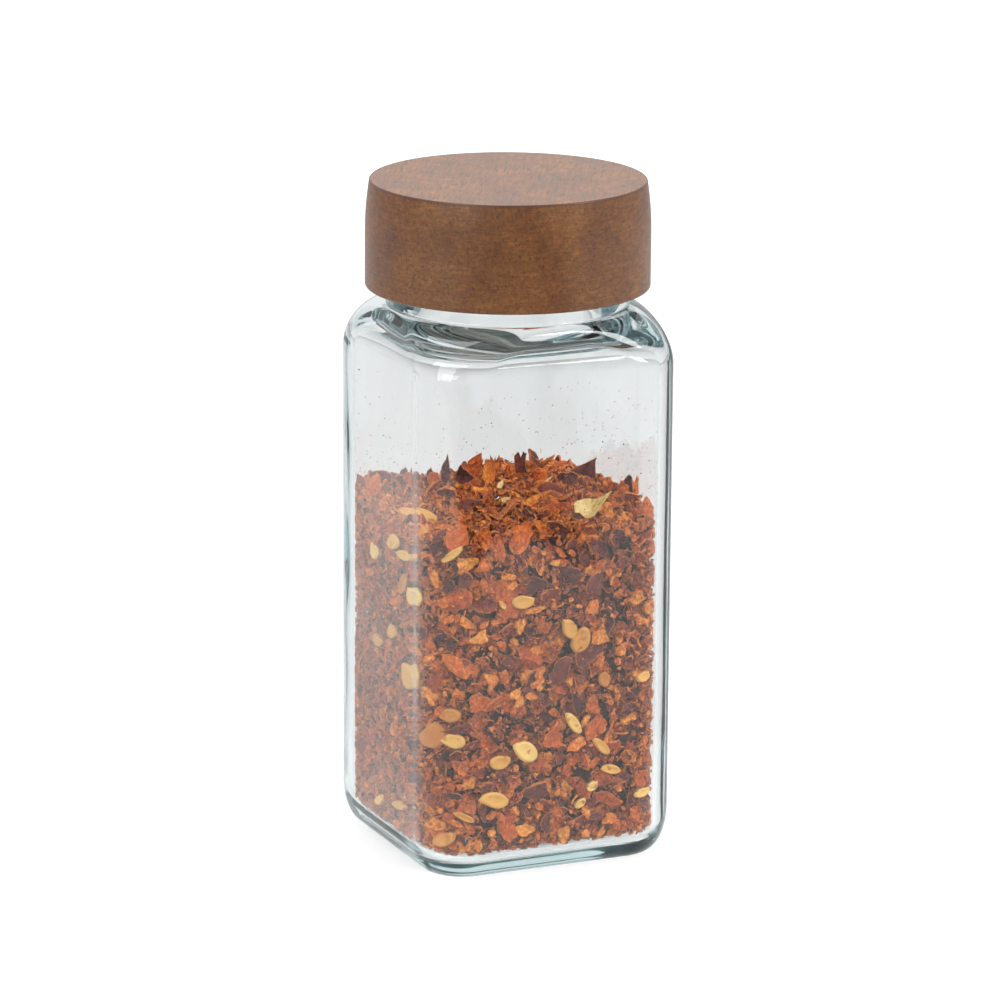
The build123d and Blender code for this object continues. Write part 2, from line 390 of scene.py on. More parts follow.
angles = np.linspace(0, turn, ring_points, endpoint=False)
levels = outside + inside
rings = np.zeros((len(levels), ring_points, 3))
for number, (half, corner, height) in enumerate(levels):
    reach = box_ring(half, half, corner, angles)
    heights = np.full(ring_points, height)
    if thread_start <= number < thread_end:
        reach += thread_crest * np.array([ridge(a, height) for a in angles])
    if bearing_start <= number < bearing_end:
        heights += serration_depth * (np.arange(ring_points) % 2)
    if number >= len(outside):
        share = min(1.0, max(0.0, (inner_top - height) / (inner_top - shoulder_start))) * half / inner_half
        half_x, half_y, own_corner = room_quarter(np.cos(angles), np.sin(angles))
        half_x = half + (half_x - inner_half) * share
        half_y = half + (half_y - inner_half) * share
        own_corner = np.maximum(corner + (own_corner - inner_corner) * share, least_corner)
        reach = box_ring(half_x, half_y, own_corner, angles)
        calm = min(1.0, max(0.0, (shoulder_top - height) / wave_fade))
        for i, a in enumerate(angles):
            spot = Vector((math.cos(a) * reach[i], math.sin(a) * reach[i], height)) / wave_length
            reach[i] += wave_depth * calm * (noise.noise(spot) - wave_middle)
    rings[number] = np.stack([np.cos(angles) * reach, np.sin(angles) * reach, heights], axis=1)

glass = ring_skin("glass_body", rings, (0, 0, push_up_depth), (0, 0, base_thickness))
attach(glass, "jar")
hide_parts("glass_jar")
print("glass mesh:", len(glass.data.vertices), "points,", len(glass.data.polygons), "faces")

# %% [markdown]
# ## Soda-lime glass
# Jar glass is soda-lime, with an index of 1.52. A thin wall looks colourless, but along an edge
# the light runs through centimetres of it and comes out blue-green, from the iron in the sand.
# That is why the colour is in the volume, and hardly in the surface. Lamps have to reach the
# flakes through the glass, so rays that look for a lamp pass straight through.

# %% Moulded soda-lime glass
tree = new_material("moulded_soda_lime_glass", glass)
body = add_node(
    tree,
    "BsdfPrincipled",
    {"Base Color": "#fefefe", "Roughness": 0.0, "IOR": 1.52, "Transmission Weight": 1.0},
)
lamp_light = add_node(tree, "BsdfTransparent", {"Color": "#fafdfd"})
path = add_node(tree, "LightPath").outputs
surface = add_node(tree, "MixShader", {0: path["Is Shadow Ray"], 1: body, 2: lamp_light})
depths = add_node(tree, "VolumeAbsorption", {"Color": "#62c8cf", "Density": 13.0})
add_node(tree, "OutputMaterial", {"Surface": surface, "Volume": depths})
print("glass:", glass.active_material.name)

# %% [markdown]
# ## The wooden cap
# The cap is turned from one block of beech or acacia, stained walnut brown and sprayed with a
# satin lacquer. The block is cut so that its grain runs level. So the side shows long grain in
# two places and speckled end grain between them, and the top shows the growth rings as a faint
# arch. A picture of wood wrapped round the cap could never do that. A pattern worked out in
# space does it by itself, as it is cut through by every surface. The solid's own shape is right,
# so the cap stays and only gets this finish.

# %% Stained and lacquered hardwood
ring_width = 2.6 * mm
pore_width = 0.2 * mm
pore_length = 1.7 * mm
streak_height = 0.32 * mm
streak_length = 3.4 * mm
blotch_size = 9 * mm
block_turn = (0.0, math.radians(7), math.radians(-62))
block_shift = (0.0, 0.006, -0.127)
cap_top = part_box("wooden_cap")[1].z
tree = new_material("stained_lacquered_hardwood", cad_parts["wooden_cap"])
place = add_node(tree, "TexCoord").outputs["Object"]
along_grain = add_node(tree, "Mapping", {"Vector": place, "Rotation": block_turn, "Location": block_shift})
growth = {
    "Vector": along_grain, "Scale": 0.31 / ring_width, "Distortion": 5.0, "Detail": 3.0, "Detail Scale": 0.5
}
growth_rings = add_node(tree, "TexWave", growth, wave_type="RINGS", rings_direction="X").outputs["Fac"]
slim = pore_width / pore_length
low = streak_height / streak_length
pore_way = add_node(tree, "Mapping", {"Vector": along_grain, "Scale": (slim, 1.0, 1.0)})
level_way = add_node(tree, "Mapping", {"Vector": place, "Scale": (low, low, 1.0)})
stain, pores, flecks, streaks = [
    add_node(tree, "TexNoise", {"Vector": way, "Scale": 1 / size, "Detail": detail, "Roughness": rough})
    for way, size, detail, rough in (
        (along_grain, blotch_size, 4.0, 0.62),
        (pore_way, pore_width * 2.2, 2.0, 0.55),
        (pore_way, pore_width * 3.4, 3.0, 0.7),
        (level_way, streak_height, 3.0, 0.6),
    )
]
stains = [(0.3, "#613718"), (0.46, "#6e411a"), (0.58, "#76491e"), (0.72, "#805326")]
ground = add_node(tree, "ValToRGB", {0: stain}, stains)
ring_tints = [(0.0, "#ffffff"), (0.6, "#f6f1ee"), (1.0, "#cfc2bb")]
ring_tint = add_node(tree, "ValToRGB", {0: growth_rings}, ring_tints)
colour = add_node(tree, "Mix", {0: 0.12, 6: ground, 7: ring_tint}, **multiplied)
for grain, change in ((flecks, 0.34), (streaks, 0.2)):
    shades = {"To Min": 1 - change, "To Max": 1 + change}
    tint = add_node(tree, "MapRange", {"Value": grain, **mid_range, **shades})
    colour = add_node(tree, "Mix", {0: 1.0, 6: colour, 7: tint}, **multiplied)
pore_share = add_node(tree, "MapRange", {"Value": pores, "From Min": 0.6, "From Max": 0.68, "To Max": 0.65})
colour = add_node(tree, "Mix", {0: pore_share, 6: colour, 7: "#3a1c0f"}, **in_colour)
height = add_node(tree, "SeparateXYZ", {0: place}).outputs["Z"]
arris_ends = {"From Min": cap_top - 0.55 * mm, "From Max": cap_top - 0.2 * mm}
near_arris = add_node(tree, "MapRange", {"Value": height, **arris_ends})
on_side = add_node(tree, "Math", {0: height, 1: cap_top - 0.01 * mm}, operation="LESS_THAN")
arris = add_node(tree, "Math", {0: near_arris, 1: on_side}, operation="MULTIPLY")
arris_share = add_node(tree, "Math", {0: arris, 1: 0.7}, operation="MULTIPLY")
colour = add_node(tree, "Mix", {0: arris_share, 6: colour, 7: "#4a2a22"}, **in_colour)
# Painted light: the top's colour is made 1.3 times as bright as the side's, for the stronger light and sheen
# on the top.
strength, coat = [
    add_node(tree, "MapRange", {"Value": on_side, "To Min": top, "To Max": side})
    for top, side in ((1.3, 1.0), (0.42, 0.24))
]
colour = add_node(tree, "Mix", {0: 1.0, 6: colour, 7: strength}, **multiplied)
pore_depth = add_node(tree, "Bump", {"Height": pores, "Strength": 0.25, "Distance": 0.05 * mm}, invert=True)
sheen = add_node(tree, "MapRange", {"Value": stain, **mid_range, "To Min": 0.42, "To Max": 0.52})
lacquer = add_node(
    tree,
    "BsdfPrincipled",
    {
        "Base Color": colour,
        "Roughness": sheen,
        "IOR": 1.5,
        "Coat Weight": coat,
        "Coat Roughness": 0.16,
        "Coat IOR": 1.5,
        "Normal": pore_depth,
    },
)
add_node(tree, "OutputMaterial", {"Surface": lacquer})
print("growth rings every", round(ring_width / mm, 1), "mm, pores", round(pore_length / mm, 1), "mm long")

# %% [markdown]
# ## The thread insert and the foam seal
# A thread cut in wood this thin would break out, so the real cap holds an injection-moulded
# insert of natural polypropylene, a milky, slightly soft-looking plastic. Its solid has the
# ribs that grip the wood, but no thread. The thread is a ridge that winds up the inside, so it
# is made here as a strip of its own: a profile carried round a helix. Under the insert's plate
# lies the seal, a disc of closed-cell foam, which is matte with tiny bubbles.

# %% Insert thread
insert_bore = 19.2 * mm
insert_crest = 1.05 * mm
insert_thread_low = 96.6 * mm
insert_thread_turns = 1.2
insert_thread_rise = thread_pitch * insert_thread_turns
insert_thread_fade = 14
profile = [(-0.1, -1.05), (0.35, -0.85), (0.95, -0.42), (1.0, 0.0), (0.95, 0.42), (0.35, 0.85), (-0.1, 1.05)]
steps = 160
points = []
for step in range(steps + 1):
    share = step / steps
    angle = share * insert_thread_turns * turn + math.pi
    fade = min(1.0, share * insert_thread_fade, (1 - share) * insert_thread_fade) ** 0.5
    for inward, upward in profile:
        radius = insert_bore - inward * (fade if inward > 0 else 1) * insert_crest
        height = insert_thread_low + insert_thread_rise * share + upward * mm
        points.append((radius * math.cos(angle), radius * math.sin(angle), height))
width = len(profile)
faces = ring_faces(steps + 1, width)
faces.append(tuple(range(width))[::-1])
faces.append(tuple(steps * width + i for i in range(width)))
insert_thread = make_object("insert_thread", points, faces)
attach(insert_thread, "lid")
print("insert thread:", len(faces), "faces")

# %% Natural polypropylene and closed-cell foam
def grained_finish(name, pieces, grains, stops, relief, surface):
    """A finish tinted by its first grain, with a relief from its last. Grains: kind, size and detail."""
    tree = new_material(name, *pieces)
    place = add_node(tree, "TexCoord").outputs["Object"]
    grains = [
        add_node(tree, kind, {"Vector": place, "Scale": 1 / size, "Detail": detail})
        for kind, size, detail in grains
    ]
    looks = {"Base Color": add_node(tree, "ValToRGB", {0: grains[0]}, stops), **surface}
    if relief:
        looks["Normal"] = add_node(tree, "Bump", {"Height": grains[-1], **relief})
    add_node(tree, "OutputMaterial", {"Surface": add_node(tree, "BsdfPrincipled", looks)})


grained_finish(
    "moulded_natural_polypropylene",
    [insert_thread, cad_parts["cap_insert"]],
    [("TexNoise", 6 * mm, 3.0), ("TexNoise", 0.4 * mm, 2.0)],
    [(0.35, "#dddcd6"), (0.65, "#e6e5e0")],
    {"Strength": 0.12, "Distance": 0.03 * mm},
    {
        "Roughness": 0.38,
        "IOR": 1.49,
        "Subsurface Weight": 0.15,
        "Subsurface Radius": (1.2 * mm, 1.1 * mm, 1.0 * mm),
        "Subsurface Scale": 1.0,
    },
)
grained_finish(
    "closed_cell_polyethylene_foam",
    [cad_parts["seal_liner"]],
    [("TexVoronoi", 0.35 * mm, 0.0)],
    [(0.0, "#dcdbd6"), (0.6, "#ecebe7")],
    {"Strength": 0.4, "Distance": 0.08 * mm},
    {"Roughness": 0.85, "IOR": 1.4},
)
print("insert bore", insert_bore / mm, "mm, thread crest", insert_crest / mm, "mm high")

# %% [markdown]
# ## Crushed chilli
# Dried chilli breaks into thin curled shards. One side is the smooth dark skin, the other the
# matte orange flesh, and the broken rim is lighter than both. A heap of them could be a bumpy
# solid with a picture on it, but what makes it real is light falling into the gaps, so each shard
# is modelled. They are all made at once as arrays of points, because a loop over thousands of
# objects would take minutes. Only the outer few millimetres can be seen, so a dark core fills
# the middle.

# %% The room inside the glass
rng = np.random.default_rng(11)
glass_gap = 0.22 * mm
heap_level = 57.0 * mm
heap_relief = 3.0 * mm
heel_corner = 1.5 * mm
heap_table = np.array(
    [
        (-0.20, 0.00, 0.10, 0.00, 0.00),
        (-0.05, 0.25, 0.45, 0.25, 0.35),
        (0.15, 0.40, 0.70, 0.45, 0.45),
        (0.40, 0.50, 0.80, 0.55, 0.35),
        (0.55, 0.45, 0.60, 0.60, 0.45),
    ]
)


def unit(vectors):
    """Directions of length one along these vectors."""
    return vectors / np.linalg.norm(vectors, axis=-1, keepdims=True)


def room_distance(points):
    """Signed distance from points to the inner wall of the jar, negative inside."""
    drop = np.clip((base_thickness + inner_heel - points[..., 2]) / inner_heel, 0, 1)
    inset = inner_heel * (1 - np.sqrt(1 - drop**2 * 0.98))
    half_x, half_y, corner = room_quarter(points[..., 0], points[..., 1])
    corner = np.maximum(corner - inset, heel_corner)
    centres = np.stack([half_x - inset - corner, half_y - inset - corner], axis=-1)
    beyond = np.abs(points[..., :2]) - centres
    outside_part = np.linalg.norm(np.maximum(beyond, 0), axis=-1)
    return outside_part + np.minimum(beyond.max(axis=-1), 0) - corner


def room_normal(points):
    """Level direction from points towards the nearest inner wall."""
    half_x, half_y, corner = room_quarter(points[..., 0], points[..., 1])
    beyond = np.abs(points[..., :2]) - np.stack([half_x - corner, half_y - corner], axis=-1)
    rounded = np.maximum(beyond, 0)
    flat = (beyond == beyond.max(axis=-1, keepdims=True)).astype(float)
    in_corner = (beyond > 0).all(axis=-1, keepdims=True)
    towards = unit(np.where(in_corner, rounded, flat) * np.sign(points[..., :2]))
    return np.concatenate([towards, np.zeros_like(towards[..., :1])], axis=-1)


def heap_top(x, y):
    """Height of the heap's surface, from a table like the solid's but higher at the front right."""
    steps = len(heap_table) - 1
    column, row = [
        np.clip((np.asarray(place) / (2 * inner_half) + 0.5) * steps, 0, steps - 0.001) for place in (x, y)
    ]
    i, j = column.astype(int), row.astype(int)
    near, far = [lerp(heap_table[k, i], heap_table[k, i + 1], column - i) for k in (j, j + 1)]
    return heap_level + heap_relief * lerp(near, far, row - j)


print("heap level at the middle:", round(float(heap_top(0, 0)) / mm, 2), "mm")

# %% Shards: outline, curl and thickness
most_bow = 0.7
ripple_length = 2.1 * mm
ripple_height = 0.08 * mm
wrinkle_length = 1.3 * mm
wrinkle_height = 0.07 * mm
shard_thickness = (0.22, 0.55)
crumb_thickness = (0.3, 0.65)


def shard_faces(around, rings):
    """Faces of one shard: two skins of rings round a middle point, joined at the rim."""
    side = rings * around + 1
    faces = []
    for skin in (0, side):
        flip = skin > 0
        middle = skin + rings * around
        for i in range(around):
            j = (i + 1) % around
            for ring in range(rings - 1):
                a = skin + ring * around
                b = a + around
                faces.append((a + j, a + i, b + i, b + j) if flip else (a + i, a + j, b + j, b + i))
            last = skin + (rings - 1) * around
            faces.append((last + j, last + i, middle) if flip else (last + i, last + j, middle))
    for i in range(around):
        j = (i + 1) % around
        faces.append((j, i, side + i, side + j))
    return faces


def broken_outline(count, around):
    """Angles and reaches of torn outlines: a few straight breaks, with a ragged edge."""
    theta = np.linspace(0, turn, around, endpoint=False)[None, :]
    sides = 5
    pull = (np.arange(sides) + rng.uniform(-0.38, 0.38, (count, sides))) * turn / sides
    distance = rng.uniform(0.45, 1.0, (count, sides))
    cosine = np.cos(theta[:, None, :] - pull[:, :, None])
    reach = np.min(distance[:, :, None] / np.maximum(cosine, 0.22), axis=1)
    ragged = rng.uniform(0.03, 0.17, (count, 1)) * rng.normal(0, 1, (count, around))
    return theta, np.minimum(reach, 1.2) * np.clip(1 + ragged, 0.5, 1.4)


def turned(first, second, angle):
    """Turns pairs of square directions in their own plane."""
    cosine, sine = np.cos(angle)[:, None], np.sin(angle)[:, None]
    return first * cosine + second * sine, second * cosine - first * sine


def shards(centres, facing, lengths, widths, around, shares, tilt, curl=(0.02, 0.3)):
    """Points of many shards as an array (shards, points, 3), with a rim and a skin value each."""
    count = len(centres)
    theta, reach = broken_outline(count, around)
    spin = rng.uniform(0, turn, count)
    level = unit(np.cross(facing, rng.normal(size=(count, 3))))
    second = np.cross(facing, level)
    first, normal = turned(level, facing, -tilt)
    length_way, width_way = turned(first, second, spin)
    return bent_shards(centres, length_way, width_way, normal, lengths, widths, theta, reach, shares, curl)


def bent_shards(centres, length_way, width_way, normal, lengths, widths, theta, reach, shares, curl):
    """Lays rings of the outline on a curled, rippled sheet and gives it a thickness."""
    count = len(centres)
    lengths = lengths[:, None]
    flat = [np.stack([reach * np.cos(theta), reach * np.sin(theta)], axis=-1) * s for s in shares]
    flat = np.concatenate(flat + [np.zeros((count, 1, 2))], axis=1)
    x = flat[..., 0] * lengths / 2
    y = flat[..., 1] * widths[:, None] / 2
    roll_way = rng.uniform(0, turn / 2, (count, 1))
    bow = rng.uniform(*curl, (count, 1)) * rng.choice([-1, 1], (count, 1)) / mm
    bow = np.minimum(np.abs(bow), most_bow / lengths) * np.sign(bow)
    over = x * np.cos(roll_way) + y * np.sin(roll_way)
    crease = rng.uniform(0.2, 0.9, (count, 1)) * (rng.random((count, 1)) < 0.5)
    fold = crease * np.abs(x * np.sin(roll_way) - y * np.cos(roll_way) + 0.2 * mm)
    ripple = np.sin(turn * (x + 0.6 * y) / ripple_length + rng.uniform(0, turn, (count, 1)))
    wrinkle = np.sin(turn * (y - 0.4 * x) / wrinkle_length + rng.uniform(0, turn, (count, 1)))
    height = bow * over**2 / 2 + fold + ripple_height * ripple + wrinkle_height * wrinkle
    crumple = rng.uniform(0.02, 0.15, (count, 1)) * mm * np.minimum(1, lengths / (3 * mm))
    height += crumple * rng.normal(0, 1, height.shape)
    thick = rng.uniform(*crumb_thickness, (count, 1)) * lengths
    thick = np.minimum(thick, rng.uniform(*shard_thickness, (count, 1)) * mm)
    sheets = []
    for side in (0.5, -0.5):
        sheet = centres[:, None, :]
        for size, way in ((x, length_way), (y, width_way), (height + side * thick, normal)):
            sheet = sheet + size[..., None] * way[:, None, :]
        sheets.append(sheet)
    points = np.concatenate(sheets, axis=1)
    around = reach.shape[1]
    rim = np.concatenate([np.full(around, float(n == 0)) for n in range(len(shares))] + [[0.0]])
    skin = np.concatenate([np.ones(len(rim)), np.zeros(len(rim))])
    return points, np.tile(rim, 2), skin


def keep_in_room(points, gap=glass_gap):
    """Moves each shard away from the wall and the floor until it is clear of both."""
    for _ in range(3):
        over = room_distance(points).max(axis=1) + gap
        points = points - np.maximum(over, 0)[:, None, None] * room_normal(points.mean(axis=1))[:, None, :]
        under = base_thickness + gap - points[..., 2].min(axis=1)
        points[..., 2] += np.maximum(under, 0)[:, None]
    return points


print("faces of a 10-sided shard:", len(shard_faces(10, 2)))

# %% [markdown]
# Other programs can't read the shader's noise, so its colours have to be baked into a picture.
# For that every shard gets its own small cell of a UV map, with its two faces side by side and
# its rim along the foot. Unwrapping thousands of shards by their angles would take far longer.

# %% A map with a cell for each shard
def shard_map(around, rings):
    """Places of a shard's face corners in its cell of the map."""
    theta = np.linspace(0, turn, around, endpoint=False)
    places = []
    for middle in (0.25, 0.75):
        for ring in range(rings):
            spread = 0.47 * (1 - ring / rings)
            places += [(middle + spread * math.cos(a) / 2, 0.54 + 0.92 * spread * math.sin(a)) for a in theta]
        places.append((middle, 0.54))
    corners = []
    faces = shard_faces(around, rings)
    for number, face in enumerate(faces):
        rim_face = number - len(faces) + around
        if rim_face < 0:
            corners += [places[point] for point in face]
        else:
            left = rim_face / around
            right = (rim_face + 1) / around
            corners += [(right, 0.0), (left, 0.0), (left, 0.06), (right, 0.06)]
    return np.array(corners)


def packed_cells(blocks):
    """Fits blocks of equal cells, as (count, cell size, corners), row by row into the unit square."""
    scale = 1 / math.sqrt(sum(2 * count * size**2 for count, size, _ in blocks))
    height = 2.0
    while height > 1:
        scale *= 0.98
        height = 0.0
        placed = []
        for count, size, corners in blocks:
            cell = scale * size
            columns = max(1, int(1 / (2 * cell)))
            number = np.arange(count)
            starts = np.stack([number % columns * 2 * cell, height + number // columns * cell], axis=1)
            placed.append(starts[:, None, :] + corners * (2 * cell * 0.96, cell * 0.96))
            height += math.ceil(count / columns) * cell
    return np.concatenate([p.reshape(-1, 2) for p in placed])


print("corners in the map of a 10-sided shard:", len(shard_map(10, 2)))

# %% [markdown]
# ## Pieces that the photograph shows one by one
# A random heap looks right, but it isn't this heap. The seeds and the boldest shards are placed
# one by one: a row gives the pixel of the piece's middle, its length and width in pixels, its angle
# in the picture and a tone from dark to light. A straight line from the camera would miss the
# spot, because glass bends light, so the ray is bent the same way at both faces of the wall
# before it meets the heap.

# %% From a pixel to a spot on the heap
glass_index = 1.52
first_step = 0.3
next_step = 0.2
bpy.context.view_layer.update()
camera_turn = camera.matrix_world.to_3x3()
picture_right = camera_turn @ Vector((1, 0, 0))
picture_up = camera_turn @ Vector((0, 1, 0))
glass_tree = BVHTree.FromPolygons(
    [v.co for v in glass.data.vertices], [tuple(p.vertices) for p in glass.data.polygons]
)


def bend(direction, normal, ratio):
    """Snell's law: the direction of a ray after a surface whose normal faces it."""
    cosine = -direction.dot(normal)
    under_root = 1 - ratio**2 * (1 - cosine**2)
    return None if under_root < 0 else ratio * direction + (ratio * cosine - math.sqrt(under_root)) * normal


def spot_on_heap(x, y):
    """The place on the heap that a pixel shows through the glass, and the way the heap faces there."""
    across = (x / picture_size - 0.5 + camera_data.shift_x) * sensor_width / camera_data.lens
    upward = (0.5 - y / picture_size + camera_data.shift_y) * sensor_width / camera_data.lens
    ray = (camera_turn @ Vector((across, upward, -1))).normalized()
    outer, normal, _, _ = glass_tree.ray_cast(camera.location, ray)
    if outer is None:
        return None
    in_glass = bend(ray, normal, 1 / glass_index)
    inner, normal, _, _ = glass_tree.ray_cast(outer + in_glass * 0.01 * mm, in_glass)
    in_room = None if inner is None else bend(in_glass, -normal, glass_index)
    if in_room is None:
        return None
    spot = inner + in_room * first_step * mm
    if spot.z < heap_top(spot.x, spot.y):
        return spot, Vector(room_normal(np.array(spot)))
    while spot.z > heap_top(spot.x, spot.y):
        spot = spot + in_room * next_step * mm
        if room_distance(np.array(spot)) > 0:
            return None
    return spot, (Vector((0, 0, 1)) + view_back * 1.6).normalized()


print("the heap at pixel 506, 650:", [round(v / mm, 1) for v in spot_on_heap(506, 650)[0]], "mm")

# %% The list of seeds and shards
# x, y, length, width, angle, and for a shard also its tone
seen_seeds = [
    (390, 542, 15, 12, 80), (402, 556, 16, 9, 150), (372, 551, 17, 7, 95), (400, 585, 19, 8, 80),
    (409, 597, 18, 9, 100), (389, 632, 14, 9, 90), (375, 641, 13, 7, 115), (405, 677, 26, 12, 100),
    (451, 556, 22, 8, 38), (524, 603, 21, 14, 5), (571, 630, 20, 15, 110), (582, 641, 26, 18, 62),
    (504, 606, 9, 5, 120), (449, 716, 18, 15, 170), (430, 737, 25, 22, 70), (453, 742, 20, 15, 165),
    (527, 752, 25, 20, 140), (575, 724, 24, 11, 122), (501, 763, 20, 15, 10), (496, 801, 27, 17, 168),
    (581, 804, 13, 8, 40), (593, 787, 13, 9, 35), (612, 770, 19, 10, 170), (644, 793, 15, 8, 30),
    (442, 840, 20, 14, 20), (645, 677, 13, 10, 40), (426, 515, 30, 12, 155), (603, 747, 21, 10, 132),
    (396, 806, 15, 8, 160), (377, 800, 11, 8, 60), (606, 680, 15, 12, 265), (464, 818, 20, 7, 152),
    (649, 610, 10, 6, 95),
]
seen_flesh = [
    (452, 667, 38, 21, 160, 0.75), (424, 697, 22, 14, 140, 0.9), (481, 639, 18, 15, 20, 0.98),
    (443, 603, 17, 11, 10, 0.72), (427, 613, 14, 13, 60, 0.8), (465, 624, 15, 12, 150, 0.9),
    (496, 682, 18, 13, 75, 0.9), (481, 703, 24, 20, 30, 0.62), (527, 830, 20, 15, 30, 1.0),
    (565, 837, 20, 15, 60, 0.98), (516, 813, 12, 10, 0, 0.95), (554, 740, 24, 21, 110, 0.5),
    (578, 744, 18, 16, 40, 0.85), (594, 707, 21, 15, 100, 0.55), (470, 784, 17, 12, 30, 0.95),
    (597, 729, 27, 23, 60, 0.6), (534, 661, 38, 28, 80, 0.42), (508, 588, 34, 26, 60, 0.66),
    (510, 577, 15, 8, 5, 1.0), (515, 586, 15, 7, 38, 0.98), (534, 611, 28, 7, 16, 0.95),
    (522, 625, 17, 10, 85, 1.0), (592, 608, 18, 11, 40, 0.82), (637, 599, 22, 11, 10, 0.95),
    (643, 618, 14, 12, 20, 0.95), (469, 564, 22, 16, 10, 1.0), (484, 568, 15, 14, 60, 0.75),
    (501, 554, 25, 12, 84, 0.72), (435, 583, 21, 12, 118, 0.92), (448, 528, 29, 14, 170, 0.8),
    (458, 538, 27, 22, 30, 0.55), (525, 532, 34, 25, 50, 0.6), (607, 512, 21, 15, 75, 0.92),
    (528, 503, 27, 10, 24, 0.92), (546, 498, 19, 14, 0, 0.7), (587, 835, 11, 8, 60, 0.9),
    (611, 819, 17, 12, 30, 0.85), (601, 834, 12, 8, 50, 0.95), (587, 814, 15, 9, 100, 0.92),
    (632, 720, 20, 8, 36, 0.97), (588, 721, 15, 7, 50, 0.95), (622, 651, 15, 12, 60, 0.9),
    (607, 799, 28, 15, 165, 0.45), (455, 824, 15, 8, 140, 0.9), (520, 694, 21, 9, 35, 0.95),
    (521, 703, 15, 9, 62, 0.98), (534, 697, 13, 11, 0, 0.92), (558, 565, 10, 7, 0, 1.0),
    (584, 539, 26, 10, 52, 0.85), (638, 497, 14, 7, 0, 0.95), (425, 810, 15, 9, 135, 0.9),
]
seen_skins = [
    (434, 550, 24, 20, 60, 0.1), (467, 714, 32, 13, 122, 0.15), (461, 730, 31, 10, 0, 0.42),
    (493, 734, 36, 16, 80, 0.3), (437, 641, 15, 12, 80, 0.1), (449, 645, 17, 12, 0, 0.1),
    (538, 793, 33, 16, 12, 0.35), (546, 825, 20, 12, 76, 0.35), (544, 722, 28, 13, 16, 0.22),
    (561, 760, 17, 11, 120, 0.6), (578, 703, 26, 9, 98, 0.05), (548, 701, 18, 11, 125, 0.5),
    (560, 671, 32, 23, 62, 0.4), (592, 654, 36, 22, 62, 0.35), (571, 579, 27, 19, 0, 0.28),
    (537, 587, 25, 20, 140, 0.2), (597, 586, 30, 17, 60, 0.35), (602, 546, 24, 18, 150, 0.35),
    (561, 529, 29, 11, 172, 0.3), (464, 582, 22, 13, 75, 0.4), (467, 504, 28, 11, 5, 0.3),
    (446, 760, 21, 17, 140, 0.08), (636, 644, 25, 14, 100, 0.4), (626, 777, 16, 11, 0, 0.4),
    (623, 737, 18, 11, 20, 0.2), (629, 709, 23, 9, 40, 0.3), (596, 816, 17, 12, 150, 0.45),
    (586, 560, 16, 11, 100, 0.25), (497, 530, 18, 11, 80, 0.45), (626, 562, 14, 12, 0, 0.5),
    (411, 778, 13, 11, 30, 0.2), (447, 586, 17, 11, 70, 0.1), (536, 516, 19, 6, 175, 0.4),
    (488, 788, 13, 10, 30, 0.5), (646, 803, 13, 5, 130, 0.2), (619, 538, 21, 17, 60, 0.35),
    (411, 697, 15, 12, 40, 0.15),
]
# bits of the pod's pale core and a leaf-shaped husk
seen_core_bits = [
    (589, 513, 36, 36, 0), (506, 501, 10, 8, 0), (501, 486, 11, 9, 40), (546, 482, 13, 8, 10),
]
# pieces that stand up above the heap: x and y of eight corners, going round, and the tone
seen_standing = [
    (373, 472, 378, 470, 388, 471, 393, 475, 392, 481, 384, 484, 375, 483, 371, 477, 0.25),
    (439, 477, 440, 467, 445, 460, 447, 456, 449, 464, 450, 477, 447, 483, 441, 482, 0.1),
    (454, 478, 456, 471, 460, 464, 463, 468, 469, 472, 473, 477, 467, 484, 458, 483, 0.1),
    (465, 471, 467, 462, 473, 457, 480, 455, 482, 461, 481, 470, 476, 478, 469, 477, 0.6),
    (479, 478, 479, 468, 482, 461, 488, 459, 493, 463, 497, 472, 494, 481, 485, 484, 0.85),
    (489, 468, 489, 456, 493, 463, 495, 458, 497, 464, 500, 455, 501, 467, 497, 476, 0.7),
    (515, 473, 514, 456, 518, 452, 520, 458, 523, 452, 526, 454, 525, 464, 528, 474, 0.4),
    (568, 469, 576, 466, 583, 464, 589, 461, 596, 456, 594, 464, 595, 477, 582, 475, 0.3),
    (603, 487, 604, 479, 607, 483, 610, 478, 612, 482, 615, 483, 615, 490, 609, 492, 0.75),
    (621, 490, 623, 480, 628, 475, 632, 475, 633, 482, 635, 489, 630, 494, 625, 494, 0.15),
    (636, 491, 635, 478, 638, 483, 640, 475, 643, 477, 642, 484, 643, 492, 639, 495, 0.85),
    (504, 471, 507, 465, 508, 461, 510, 465, 512, 469, 513, 473, 510, 477, 506, 477, 0.65),
    (532, 478, 533, 470, 537, 468, 541, 470, 546, 468, 549, 474, 546, 482, 537, 483, 0.6),
    (556, 476, 560, 471, 566, 472, 573, 471, 579, 474, 577, 481, 568, 483, 559, 482, 0.3),
    (361, 491, 362, 482, 367, 477, 371, 474, 375, 480, 375, 489, 370, 495, 364, 497, 0.65),
    (394, 478, 398, 474, 405, 475, 412, 472, 418, 475, 420, 480, 410, 484, 399, 484, 0.4),
    (424, 478, 428, 473, 434, 473, 438, 473, 441, 479, 437, 484, 430, 486, 426, 484, 0.55),
    (647, 500, 650, 496, 653, 502, 656, 508, 656, 516, 652, 521, 648, 516, 646, 507, 0.7),
    (617, 492, 619, 483, 622, 480, 625, 484, 629, 487, 630, 494, 625, 498, 619, 497, 0.6),
    (412, 475, 415, 470, 419, 468, 422, 471, 424, 475, 422, 480, 417, 481, 413, 479, 0.25),
]
print(len(seen_seeds), "seeds and", len(seen_flesh) + len(seen_skins), "shards placed by the photograph")

# %% Their places and directions
pixel_size = view_distance / focal_pixels


